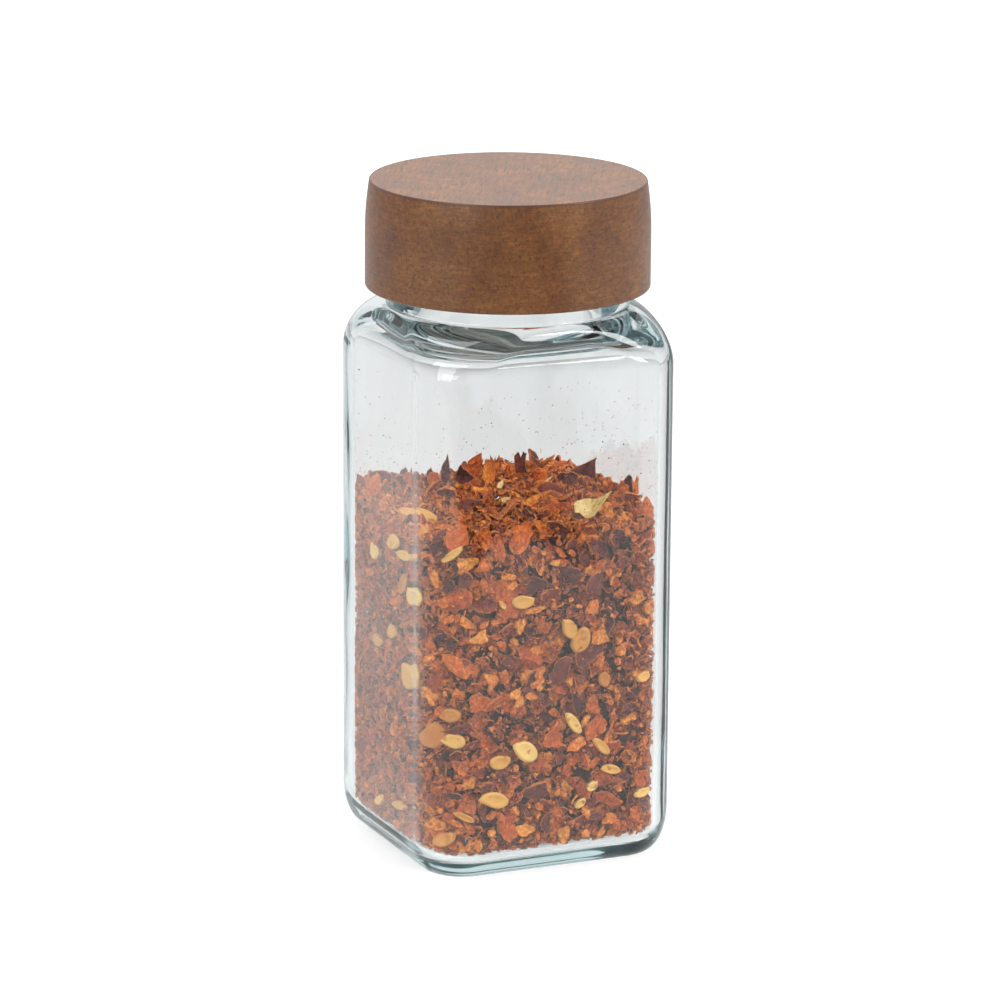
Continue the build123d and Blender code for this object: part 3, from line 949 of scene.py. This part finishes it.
def picture_axes(row, facing):
    """Turns a row's length and width in the picture into two vectors on the piece's plane."""
    across = (picture_right - facing * picture_right.dot(facing)).normalized()
    upward = facing.cross(across)
    square = Matrix([(across.dot(way), upward.dot(way)) for way in (picture_right, picture_up)]).inverted()
    angle = math.radians(row[4])
    axes = []
    for size, way in ((row[2], angle), (row[3], angle + turn / 4)):
        reach = square @ Vector((math.cos(way), math.sin(way))) * size * pixel_size
        axes.append(across * reach[0] + upward * reach[1])
    return axes


def place_rows(rows, lean):
    """Centres, facing directions and two in-plane vectors for rows of the list."""
    placed = []
    for row in rows:
        found = spot_on_heap(row[0], row[1])
        if found is None:
            print("no heap at pixel", row[:2])
            continue
        spot, normal = found
        facing = (normal + Vector(rng.normal(0, lean, 3))).normalized()
        placed.append((spot, facing, *picture_axes(row, facing), row[-1]))
    return [np.array(v) for v in zip(*placed)]


def with_middles(corners):
    """An outline with a point added at the middle of each side."""
    return np.stack([corners, (corners + np.roll(corners, -1, axis=0)) / 2], axis=1).reshape(-1, 2)


seen_lists = ((seen_seeds, 0.08), (seen_flesh, 0.2), (seen_skins, 0.2), (seen_core_bits, 0.1))
seen_places = [place_rows(rows, lean) for rows, lean in seen_lists]
upright = Vector((view_back.x, view_back.y, 0)).normalized()
level = Vector((0, 0, 1)).cross(upright)
standing = []
for *corners, tone in seen_standing:
    corners = np.reshape(corners, (8, 2))
    middle = np.mean(corners, axis=0)
    lowest = corners[:, 1].max()
    foot = spot_on_heap(middle[0], lowest)
    if foot is None:
        print("no heap under the piece at pixel", middle)
        continue
    lift = (lowest - middle[1]) * pixel_size / picture_up.z
    offset = with_middles((corners - middle) * (pixel_size, -pixel_size / picture_up.z))
    offset *= 1 + rng.normal(0, 0.05, (len(offset), 1))
    way = -1 if tone >= 0.5 else 1
    offset = (offset * (1, way))[::-way]
    standing.append((foot[0] + Vector((0, 0, lift)), level, way, offset, tone))
print("first seed at", (seen_places[0][0][0] / mm).round(1), "mm")

# %% Where the shards lie
above_heel = (0, 0, 30 * mm)
lowest_flake = 3.5 * mm


def wall_spots(count, low=lowest_flake):
    """Random places on the inner wall below the heap's surface, with the way to the glass."""
    straight = 2 * (inner_half - inner_corner)
    quarter_length = straight + inner_corner * turn / 4
    along = rng.uniform(0, 4 * quarter_length, count)
    side = (along // quarter_length).astype(int)
    rest = along % quarter_length
    bent = np.clip((rest - straight) / inner_corner, 0, turn / 4)
    x = np.minimum(rest, straight) - straight / 2 + inner_corner * np.sin(bent)
    y = -(inner_half - inner_corner) - inner_corner * np.cos(bent)
    cosine, sine = np.cos(side * turn / 4), np.sin(side * turn / 4)
    level = np.stack([x * cosine - y * sine, x * sine + y * cosine], axis=1)
    tops = heap_top(level[:, 0] * 0.93, level[:, 1] * 0.93)
    height = low + rng.uniform(0, 1, count) * (tops - low)
    places = np.column_stack([level, height])
    facing = room_normal(places)
    return places - room_distance(places)[:, None] * facing, facing, side


def level_spots(count, margin, clearance):
    """Random places on a level through the jar, clear of its walls. Their heights come later."""
    level = rng.uniform(-1, 1, (count * 2, 3)) * (inner_half - margin)
    return level[room_distance(level + above_heel) < -clearance][:count]


def mixed_tilt(count, flat_share=0.6, flat=0.3, steep=1.25):
    """Tilts in radians: most shards lie nearly flat, the rest stand at any angle up to steep."""
    lying = rng.random(count) < flat_share
    return np.where(lying, np.abs(rng.normal(0, flat, count)), rng.uniform(0.2, steep, count))


def make_way(points):
    """Moves random shards in front of a placed piece back behind it."""
    for centres, facings, firsts, seconds, _ in seen_places:
        for centre, facing, first, second in zip(centres, facings, firsts, seconds):
            radius = (np.linalg.norm(first) + np.linalg.norm(second)) / 4
            middle = points.mean(axis=1) - centre
            ahead = (points - centre) @ facing
            aside = np.linalg.norm(middle - np.outer(middle @ facing, facing), axis=1)
            near = (aside < radius * 0.92 + 0.35 * mm) & (middle @ facing > -3.5 * mm)
            back = np.where(near, ahead.max(axis=1) + rng.uniform(0.7, 1.2) * mm, 0)
            points = points - np.maximum(back, 0)[:, None, None] * facing
    return points


batches = []


def add_batch(group, points, rim, skin, around, rings, tones):
    """Keeps a batch of shards for the piece named by each shard's group."""
    faces = shard_faces(around, rings)
    batches.append((np.asarray(group), points, rim, skin, faces, shard_map(around, rings), tones))


large_shares = (1.0, 0.84, 0.45)
# name, points round, rings, lengths and depth in mm, number on the walls, the top and the floor
grades = [
    ("large", 16, large_shares, (3.4, 6.6), 2.9, 820, 190, 100),
    ("middle", 10, (1.0, 0.8), (1.8, 3.6), 3.8, 3000, 660, 340),
    ("small", 6, (1.0,), (0.9, 1.9), 4.2, 5400, 1400, 300),
    ("crumb", 5, (1.0,), (0.4, 0.95), 4.2, 6600, 1900, 300),
]
for name, around, shares, (least, most), deepest, on_wall, on_top, on_floor in grades:
    places, facing, side = wall_spots(on_wall)
    group = [("front", "right", "back", "left")[s] for s in side]
    depth = rng.beta(1.1, 1.9, on_wall) * deepest * mm
    places = places - facing * depth[:, None]
    tops = level_spots(on_top, 1.2 * mm, 1.0 * mm)
    tops[:, 2] = heap_top(tops[:, 0], tops[:, 1]) - rng.beta(1.0, 2.2, len(tops)) * 3.4 * mm
    floors = level_spots(on_floor, 2 * mm, 1.5 * mm)
    floors[:, 2] = base_thickness + 0.6 * mm + rng.beta(1.0, 2.0, len(floors)) * 2.5 * mm
    places = np.concatenate([places, tops, floors])
    ways = [np.tile([0.0, 0.0, way], (len(spots), 1)) for spots, way in ((tops, 1.0), (floors, -1.0))]
    facing = np.concatenate([facing, *ways])
    facing[rng.random(len(facing)) < 0.62] *= -1
    group = np.array(group + ["top"] * len(tops) + ["floor"] * len(floors))
    lengths = (least + (most - least) * rng.beta(1.2, 2.2, len(places))) * mm
    widths = lengths * rng.uniform(0.42, 0.95, len(places))
    points, rim, skin = shards(places, facing, lengths, widths, around, shares, mixed_tilt(len(places)))
    points = keep_in_room(points, glass_gap + rng.uniform(0, 0.8, len(points)) ** 2 * mm)
    points = make_way(points)
    add_batch(group, points, rim, skin, around, len(shares), rng.random(len(points)))
    print(name, "shards:", len(points), "points each:", points.shape[1])

# %% The placed shards
def laid_shards(centres, firsts, seconds, facings, theta, reach, curl):
    """Large shards that fill the two vectors given for each."""
    lengths = np.linalg.norm(firsts, axis=1)
    widths = np.linalg.norm(seconds, axis=1)
    ways = (firsts / lengths[:, None], seconds / widths[:, None], facings)
    return bent_shards(centres, *ways, lengths, widths, theta, reach, large_shares, curl)


around = 16
small_curl = (0.02, 0.16)
placed_gap = 0.16 * mm
for (centres, facings, firsts, seconds, tones), flip in ((seen_places[1], -1), (seen_places[2], 1)):
    theta, reach = broken_outline(len(tones), around)
    reach = reach / reach.mean(axis=1, keepdims=True) * 0.86
    spots = centres - facings * 0.35 * mm
    points, rim, skin = laid_shards(spots, firsts, seconds * flip, facings * flip, theta, reach, small_curl)
    points = keep_in_room(points, placed_gap)
    add_batch(["placed"] * len(tones), points, rim, skin, around, 3, tones)
middles, levels_across, ways, offsets, tones = [np.array(v) for v in zip(*standing)]
reach = np.linalg.norm(offsets, axis=-1)
spans = reach.max(axis=1) * 2
points, rim, skin = bent_shards(
    middles,
    levels_across,
    ways[:, None] * np.array([0.0, 0.0, 1.0]),
    ways[:, None] * np.array(upright),
    spans,
    spans,
    np.arctan2(offsets[..., 1], offsets[..., 0]),
    reach / spans[:, None] * 2,
    large_shares,
    small_curl,
)
points = keep_in_room(points, placed_gap)
add_batch(["placed"] * len(standing), points, rim, skin, around, 3, tones)
print("placed shards:", sum(len(b[1]) for b in batches[-3:]))

# %% Shards into pieces
def keep_values(piece, label, values):
    """Keeps a value on each point of a piece, for its material."""
    layer = piece.data.attributes.new(label, "FLOAT", "POINT")
    layer.data.foreach_set("value", values.astype(np.float32))


def shard_piece(name, chosen):
    """Joins the shards of one group into a mesh with tone, rim and skin values on its points."""
    points, faces, tones, rims, skins, blocks = [], [], [], [], [], []
    offset = 0
    for group, shard_points, rim, skin, template, corners, tone in batches:
        mine = np.nonzero(group == chosen)[0]
        size = shard_points.shape[1]
        if len(mine) > 0:
            spans = np.linalg.norm(np.ptp(shard_points[mine], axis=1), axis=1)
            blocks.append((len(mine), max(spans.mean(), 1 * mm), corners))
        points.append(shard_points[mine].reshape(-1, 3))
        for number in range(len(mine)):
            start = offset + number * size
            faces += [tuple(start + i for i in face) for face in template]
        offset += size * len(mine)
        tones.append(np.repeat(tone[mine], size))
        rims.append(np.tile(rim, len(mine)))
        skins.append(np.tile(skin, len(mine)))
    made = make_object(name, np.concatenate(points).tolist(), faces)
    made.data.set_sharp_from_angle(angle=math.radians(38))
    for label, values in (("tone", tones), ("rim", rims), ("skin", skins)):
        keep_values(made, label, np.concatenate(values))
    bake_map = made.data.uv_layers.new(name="OFBake")
    bake_map.data.foreach_set("uv", packed_cells(blocks).ravel().astype(np.float32))
    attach(made, "jar")
    return made


flake_groups = ("front", "left", "right", "back", "top", "floor", "placed")
flake_pieces = [shard_piece("flakes_" + group, group) for group in flake_groups]
for piece in flake_pieces:
    print(piece.name, "triangles:", sum(len(p.vertices) - 2 for p in piece.data.polygons))

# %% [markdown]
# ## What dried chilli looks like
# The skin of a dried pod is smooth, dark red and a little glossy. The flesh side is matte and
# orange, with fine fibres, and the freshly broken rim is lighter still. The three values kept on
# the points pick the colour, and a noise of about half a millimetre mottles it.

# %% Dried chilli
tree = new_material("dried_chilli_flesh_and_skin", *flake_pieces)
tone, rim, skin = [
    add_node(tree, "Attribute", attribute_name=label).outputs["Fac"] for label in ("tone", "rim", "skin")
]
place = add_node(tree, "TexCoord").outputs["Object"]
fibre_way = add_node(tree, "Mapping", {"Vector": place, "Scale": (1.0, 0.35, 0.6)})
mottle, fibre, crust = [
    add_node(tree, "TexNoise", {"Vector": way, "Scale": 1 / size, "Detail": 3.0, "Roughness": rough})
    for way, size, rough in (
        (place, 0.9 * mm, 0.6),
        (fibre_way, 0.38 * mm, 0.65),
        (place, 0.42 * mm, 0.65),
    )
]
shifted = add_node(tree, "Math", {0: mottle, 1: 0.9, 2: tone}, operation="MULTIPLY_ADD")
spread = add_node(tree, "Math", {0: shifted, 1: 0.45}, operation="SUBTRACT")
flesh_stops = [(0.0, "#6e2812"), (0.3, "#a3451c"), (0.6, "#c45c22"), (0.85, "#da762b"), (1.0, "#e2923e")]
skin_stops = [(0.0, "#4a201c"), (0.45, "#743224"), (0.8, "#a04c2a"), (1.0, "#c4662e")]
flesh_colour = add_node(tree, "ValToRGB", {0: spread}, flesh_stops)
skin_colour = add_node(tree, "ValToRGB", {0: spread}, skin_stops)
sides = add_node(tree, "Mix", {0: skin, 6: flesh_colour, 7: skin_colour}, **in_colour)
rim_share = add_node(tree, "MapRange", {"Value": rim, "From Min": 0.55, "From Max": 1.0, "To Max": 0.7})
rimmed = add_node(tree, "Mix", {0: rim_share, 6: sides, 7: "#d47c36"}, **in_colour)
fibre_shade = add_node(tree, "MapRange", {"Value": fibre, **mid_range, "To Min": 0.5, "To Max": 1.36})
worn = add_node(tree, "Mix", {0: 1.0, 6: rimmed, 7: fibre_shade}, **multiplied)
gloss = add_node(tree, "MapRange", {"Value": skin, "To Min": 0.8, "To Max": 0.42})
relief = add_node(tree, "Bump", {"Height": crust, "Strength": 0.8, "Distance": 0.24 * mm})
flesh = add_node(
    tree,
    "BsdfPrincipled",
    {"Base Color": worn, "Roughness": gloss, "IOR": 1.4, "Specular IOR Level": 0.35, "Normal": relief},
)
add_node(tree, "OutputMaterial", {"Surface": flesh})

# %% [markdown]
# ## Seeds and dust
# Chilli seeds are flat discs about four millimetres across, a little kidney-shaped, with a
# raised rim and a small beak where they hung on. They are straw yellow, with a waxy surface.
# The finest dust of the chilli has stuck to the glass above the heap.

# %% Seeds
def seed_points(centres, firsts, seconds, facings):
    """Points and faces of seeds: two domed skins with a dished middle and a beak on the outline."""
    around = 20
    theta = np.linspace(0, turn, around, endpoint=False)
    outline = 1 + 0.16 * np.exp(-((theta - 0.35) ** 2) / 0.05) - 0.1 * np.exp(-((theta - 1.1) ** 2) / 0.12)
    outline = outline * (1 + 0.03 * np.sin(2 * theta + 1))
    shares = (1.0, 0.93, 0.8, 0.6, 0.3)
    lifts = (0.0, 0.75, 1.0, 0.82, 0.62)
    middle_lift = 0.6
    rows = []
    for side in (1, -1):
        for share, lift in zip(shares, lifts):
            x = np.cos(theta) * outline * share
            y = np.sin(theta) * outline * share
            rows.append(np.stack([x, y, np.full(around, lift * side)], axis=1))
        rows.append(np.array([[0.0, 0.0, middle_lift * side]]))
    flat = np.concatenate(rows)
    flat = flat * (1 + rng.normal(0, 0.02, (len(centres), *flat.shape)))
    half_thick = rng.uniform(0.36, 0.5, (len(centres), 1, 1)) * mm
    points = centres[:, None, :] + flat[..., 0:1] * firsts[:, None, :] / 2
    points += flat[..., 1:2] * seconds[:, None, :] / 2
    points += flat[..., 2:3] * half_thick * facings[:, None, :]
    return points, shard_faces(around, len(shares))


loose_count = 110
places, facing, side = wall_spots(loose_count, 5.5 * mm)
hidden = ((side == 1) | (side == 2)) & (places[:, 2] < heap_level - 3 * mm)
places, facing = places[hidden], facing[hidden]
places = places - facing * rng.uniform(0.3, 2.2, (len(places), 1)) * mm
facing = unit(facing + rng.normal(0, 0.3, facing.shape))
way = unit(np.cross(facing, rng.normal(size=facing.shape)))
long_axis = way * rng.uniform(3.6, 4.4, (len(way), 1)) * mm
short_axis = np.cross(facing, way) * rng.uniform(2.9, 3.5, (len(way), 1)) * mm
centres, facings, firsts, seconds, _ = seen_places[0]
points, template = seed_points(
    np.concatenate([centres - facings * 0.5 * mm, places]),
    np.concatenate([firsts, long_axis]),
    np.concatenate([seconds, short_axis]),
    np.concatenate([facings, facing]),
)
points = keep_in_room(points, 0.14 * mm)
size = points.shape[1]
faces = [tuple(n * size + i for i in face) for n in range(len(points)) for face in template]
seeds = make_object("chilli_seeds", points.reshape(-1, 3).tolist(), faces)
keep_values(seeds, "tone", np.repeat(rng.random(len(points)), size))
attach(seeds, "jar")
print("seeds:", len(points))

# %% Seed coat
tree = new_material("dry_chilli_seed_coat", seeds)
tone = add_node(tree, "Attribute", attribute_name="tone").outputs["Fac"]
place = add_node(tree, "TexCoord").outputs["Object"]
patches = add_node(tree, "TexNoise", {"Vector": place, "Scale": 1 / (1.4 * mm), "Detail": 3.0})
tinted = add_node(tree, "Math", {0: patches, 1: 0.7, 2: tone}, operation="MULTIPLY_ADD")
coat_place = add_node(tree, "Math", {0: tinted, 1: 0.35}, operation="SUBTRACT")
coat_stops = [(0.0, "#bf742c"), (0.25, "#d69640"), (0.6, "#e2aa52"), (1.0, "#ecc070")]
coat_colour = add_node(tree, "ValToRGB", {0: coat_place}, coat_stops)
stained = add_node(tree, "MapRange", {"Value": patches, "From Min": 0.6, "From Max": 0.68, "To Max": 0.75})
stained_colour = add_node(tree, "Mix", {0: stained, 6: coat_colour, 7: "#b4561c"}, **in_colour)
pits = add_node(tree, "TexNoise", {"Vector": place, "Scale": 1 / (0.18 * mm), "Detail": 2.0})
pit_bump = add_node(tree, "Bump", {"Height": pits, "Strength": 0.3, "Distance": 0.04 * mm})
waxy = add_node(
    tree,
    "BsdfPrincipled",
    {"Base Color": stained_colour, "Roughness": 0.48, "IOR": 1.46, "Normal": pit_bump},
)
add_node(tree, "OutputMaterial", {"Surface": waxy})

# %% Bits of pith and a husk like a small leaf
centres, facings, firsts, seconds, _ = seen_places[3]
leaf_size = 18
leaf = np.array(
    [
        (-16, 2), (-15, -4), (-10, -11), (-4, -13), (3, -8), (9, -2),
        (14, 5), (19, 12), (7, 10), (-3, 10), (-11, 7),
    ]
)
leaf = with_middles(leaf) / leaf_size
around = len(leaf)
theta = np.arctan2(leaf[:, 1], leaf[:, 0])[None, :]
reach = np.linalg.norm(leaf, axis=1) * (1 + rng.normal(0, 0.03, (len(centres), around)))
spots = centres + facings * 0.4 * mm
points, rim, skin = laid_shards(spots, firsts, seconds, facings, theta, reach, (0.1, 0.16))
points = keep_in_room(points, 0.14 * mm)
batches = []
add_batch(["pith"] * len(centres), points, rim, skin, around, 3, rng.random(len(centres)))
pith_bits = shard_piece("pith_bits", "pith")
grained_finish(
    "dry_chilli_pith",
    [pith_bits],
    [("TexNoise", 0.5 * mm, 4.0)],
    [(0.3, "#c89e56"), (0.5, "#d6b470"), (0.7, "#e0c88c")],
    {"Strength": 0.2, "Distance": 0.05 * mm},
    {"Roughness": 0.6, "IOR": 1.45},
)
print("bits of pith:", len(centres))

# %% Dust on the glass above the heap
dust_count = 560
dust_low = 58.5
dust_spread = 22
places, facing, side = wall_spots(dust_count, 5.0 * mm)
places[:, 2] = (dust_low + dust_spread * rng.beta(1.0, 2.6, dust_count)) * mm
size_of_dust = rng.uniform(0.09, 0.28, dust_count) * mm
points, rim, skin = shards(
    places - facing * 0.1 * mm,
    facing,
    size_of_dust,
    size_of_dust * rng.uniform(0.6, 1, dust_count),
    6,
    (1.0,),
    mixed_tilt(dust_count, 1.0),
)
points = keep_in_room(points, 0.1 * mm)
batches = []
add_batch(["dust"] * dust_count, points, rim, skin, 6, 1, rng.uniform(0.4, 1.0, dust_count))
dust_on_glass = shard_piece("dust_on_glass", "dust")
dust_on_glass.data.materials.append(flake_pieces[0].active_material)
print("specks of dust:", dust_count)

# %% [markdown]
# ## The dark middle of the heap
# Between the shards the eye sees into the heap, where no light comes back. A rough block, its dark
# colour painted shade, stands for everything that lies deeper than about four millimetres.

# %% Core
core_inset = 3.6 * mm
core_foot = base_thickness + 1.6 * mm
core_head = heap_level - 3.6 * mm
core_angles = angles[::4]
core_rings = []
for step in range(25):
    share = step / 24
    ends = min(1.0, 4 * share + 0.7, 4 * (1 - share) + 0.8)
    quarter = room_quarter(np.cos(core_angles), np.sin(core_angles))
    reach = (box_ring(*quarter, core_angles) - core_inset) * ends
    reach += rng.normal(0, 0.25 * mm, len(reach))
    heights = np.full(len(reach), lerp(core_foot, core_head, share))
    core_rings.append(np.stack([np.cos(core_angles) * reach, np.sin(core_angles) * reach, heights], 1))
core = ring_skin("flakes_core", np.array(core_rings), (0, 0, core_foot), (0, 0, core_head))
# painted shade: dark browns for the unlit inside of the heap
grained_finish(
    "heap_core_painted_shade",
    [core],
    [("TexNoise", 1.2 * mm, 4.0)],
    [(0.35, "#341408"), (0.65, "#642a14")],
    None,
    {"Roughness": 0.9},
)
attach(core, "jar")
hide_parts("chilli_flakes")
print("core height:", round((core_head - core_foot) / mm, 1), "mm")

# %% [markdown]
# ## Floor, backdrop and light
# A product shot on white: a pale sweep, a big soft source on each side and a softer sky. The
# floor gives its own colour where the light falls, and a share of white to the eye, so that it
# reads as white but keeps the jar's shadow. The share grows with the distance, up to pure white
# where the floor meets the backdrop. A small glow at the foot stands for the light that the glass
# gathers there. Mirror rays see the floor darker in front of the jar, past one straight edge and
# to one side of another, because the glass in the photograph shows such a dark patch.

# %% White floor
floor_reach = 4.0
# mirror rays see the floor darker in front of the jar, past one straight edge and to one side of another
front_edge = {"From Min": -0.205, "From Max": -0.222}
side_edge = {"From Min": 0.003, "From Max": -0.009}
side_edge_way = (1.0, 0.46, 0.0)
eye_white = {"From Min": 0.4, "From Max": 1.0, "To Min": 0.36, "To Max": 1.0}
# painted light: the paper glows near the foot, fading out by 80 mm, for light that the glass gathers there
painted_glow_at_foot = {"From Min": 0.035, "From Max": 0.08, "To Min": 0.22, "To Max": 0.0}
corners = [(x * floor_reach, y * floor_reach, 0) for x, y in ((-1, -1), (1, -1), (1, 1), (-1, 1))]
floor = make_object("floor", corners, [(0, 1, 2, 3)])
tree = new_material("white_paper_sweep", floor)
path = add_node(tree, "LightPath").outputs
place = add_node(tree, "TexCoord").outputs["Object"]
along = add_node(tree, "SeparateXYZ", {0: place}).outputs["Y"]
across = add_node(tree, "VectorMath", {0: place, 1: side_edge_way}, operation="DOT_PRODUCT")
past_front_edge, past_side_edge = [
    add_node(tree, "MapRange", {"Value": value, **edge}, interpolation_type="SMOOTHSTEP")
    for value, edge in ((along, front_edge), (across, side_edge))
]
dark_patch = add_node(tree, "Math", {0: past_front_edge, 1: past_side_edge}, operation="MULTIPLY")
mirrored = add_node(tree, "Math", {0: dark_patch, 1: path["Is Glossy Ray"]}, operation="MULTIPLY")
paper_colour = add_node(tree, "Mix", {0: mirrored, 6: "#dedede", 7: "#5c5c5c"}, **in_colour)
paper = add_node(tree, "BsdfDiffuse", {"Color": paper_colour})
distance = add_node(tree, "VectorMath", {0: place}, operation="LENGTH")
to_eye, to_glass = [
    add_node(tree, "MapRange", {"Value": distance, **white}) for white in (eye_white, painted_glow_at_foot)
]
seen_white = add_node(tree, "Math", {0: to_eye, 1: path["Is Camera Ray"]}, operation="MULTIPLY")
brighter = add_node(tree, "Math", {0: seen_white, 1: to_glass}, operation="MAXIMUM")
glow = add_node(tree, "Emission", {"Color": (1, 1, 1, 1), "Strength": brighter})
dark = add_node(tree, "Emission", {"Color": (0, 0, 0, 1), "Strength": 0.0})
extra = add_node(tree, "MixShader", {0: path["Is Diffuse Ray"], 1: glow, 2: dark})
both = add_node(tree, "AddShader", {0: paper, 1: extra})
add_node(tree, "OutputMaterial", {"Surface": both})

# %% Sky
world = bpy.data.worlds.new("studio")
bpy.context.scene.world = world
world.use_nodes = True
tree = world.node_tree
tree.nodes.clear()
direction = add_node(tree, "TexCoord").outputs["Generated"]
up = add_node(tree, "SeparateXYZ", {0: direction}).outputs["Z"]
sky = add_node(tree, "ValToRGB", {0: up}, [(0.0, "#ffffff"), (0.5, "#ffffff"), (0.8, "#b4b6b8")])
away = (-math.sin(view_azimuth), math.cos(view_azimuth), 0.0)
backward = add_node(tree, "VectorMath", {0: direction, 1: away}, operation="DOT_PRODUCT")
paper_ends = {"From Min": -0.7, "From Max": 0.35, "To Min": 0.5}
paper_side = add_node(tree, "MapRange", {"Value": backward, **paper_ends})
studio_colour = add_node(tree, "Mix", {0: 1.0, 6: sky, 7: paper_side}, **multiplied)
path = add_node(tree, "LightPath").outputs
studio, soft, backdrop = [
    add_node(tree, "Background", {"Color": colour, "Strength": strength})
    for colour, strength in ((studio_colour, 0.9), ((1, 1, 1, 1), 0.45), ((1, 1, 1, 1), 1.0))
]
lit = add_node(tree, "MixShader", {0: path["Is Diffuse Ray"], 1: studio, 2: soft})
shown = add_node(tree, "MixShader", {0: path["Is Camera Ray"], 1: lit, 2: backdrop})
add_node(tree, "OutputWorld", {"Surface": shown})

# %% Lamps
def soft_box(name, place, size, power):
    """A square soft lamp that faces the middle of the jar."""
    data = bpy.data.lights.new(name, "AREA")
    data.size = size
    data.energy = power
    lamp = bpy.data.objects.new(name, data)
    bpy.context.collection.objects.link(lamp)
    lamp.location = place
    lamp.rotation_euler = (aim_point - Vector(place)).to_track_quat("-Z", "Y").to_euler()


soft_box("key_box", (0.75, -0.75, 0.8), 0.5, 9.0)
soft_box("fill_box", (-0.95, -0.45, 0.55), 0.6, 5.0)
soft_box("top_box", (-0.1, 0.35, 1.1), 0.7, 6.0)
scene = bpy.context.scene
scene.view_settings.view_transform = "Standard"
scene.cycles.max_bounces = 40
scene.cycles.glossy_bounces = 24
scene.cycles.transmission_bounces = 32
scene.cycles.transparent_max_bounces = 16
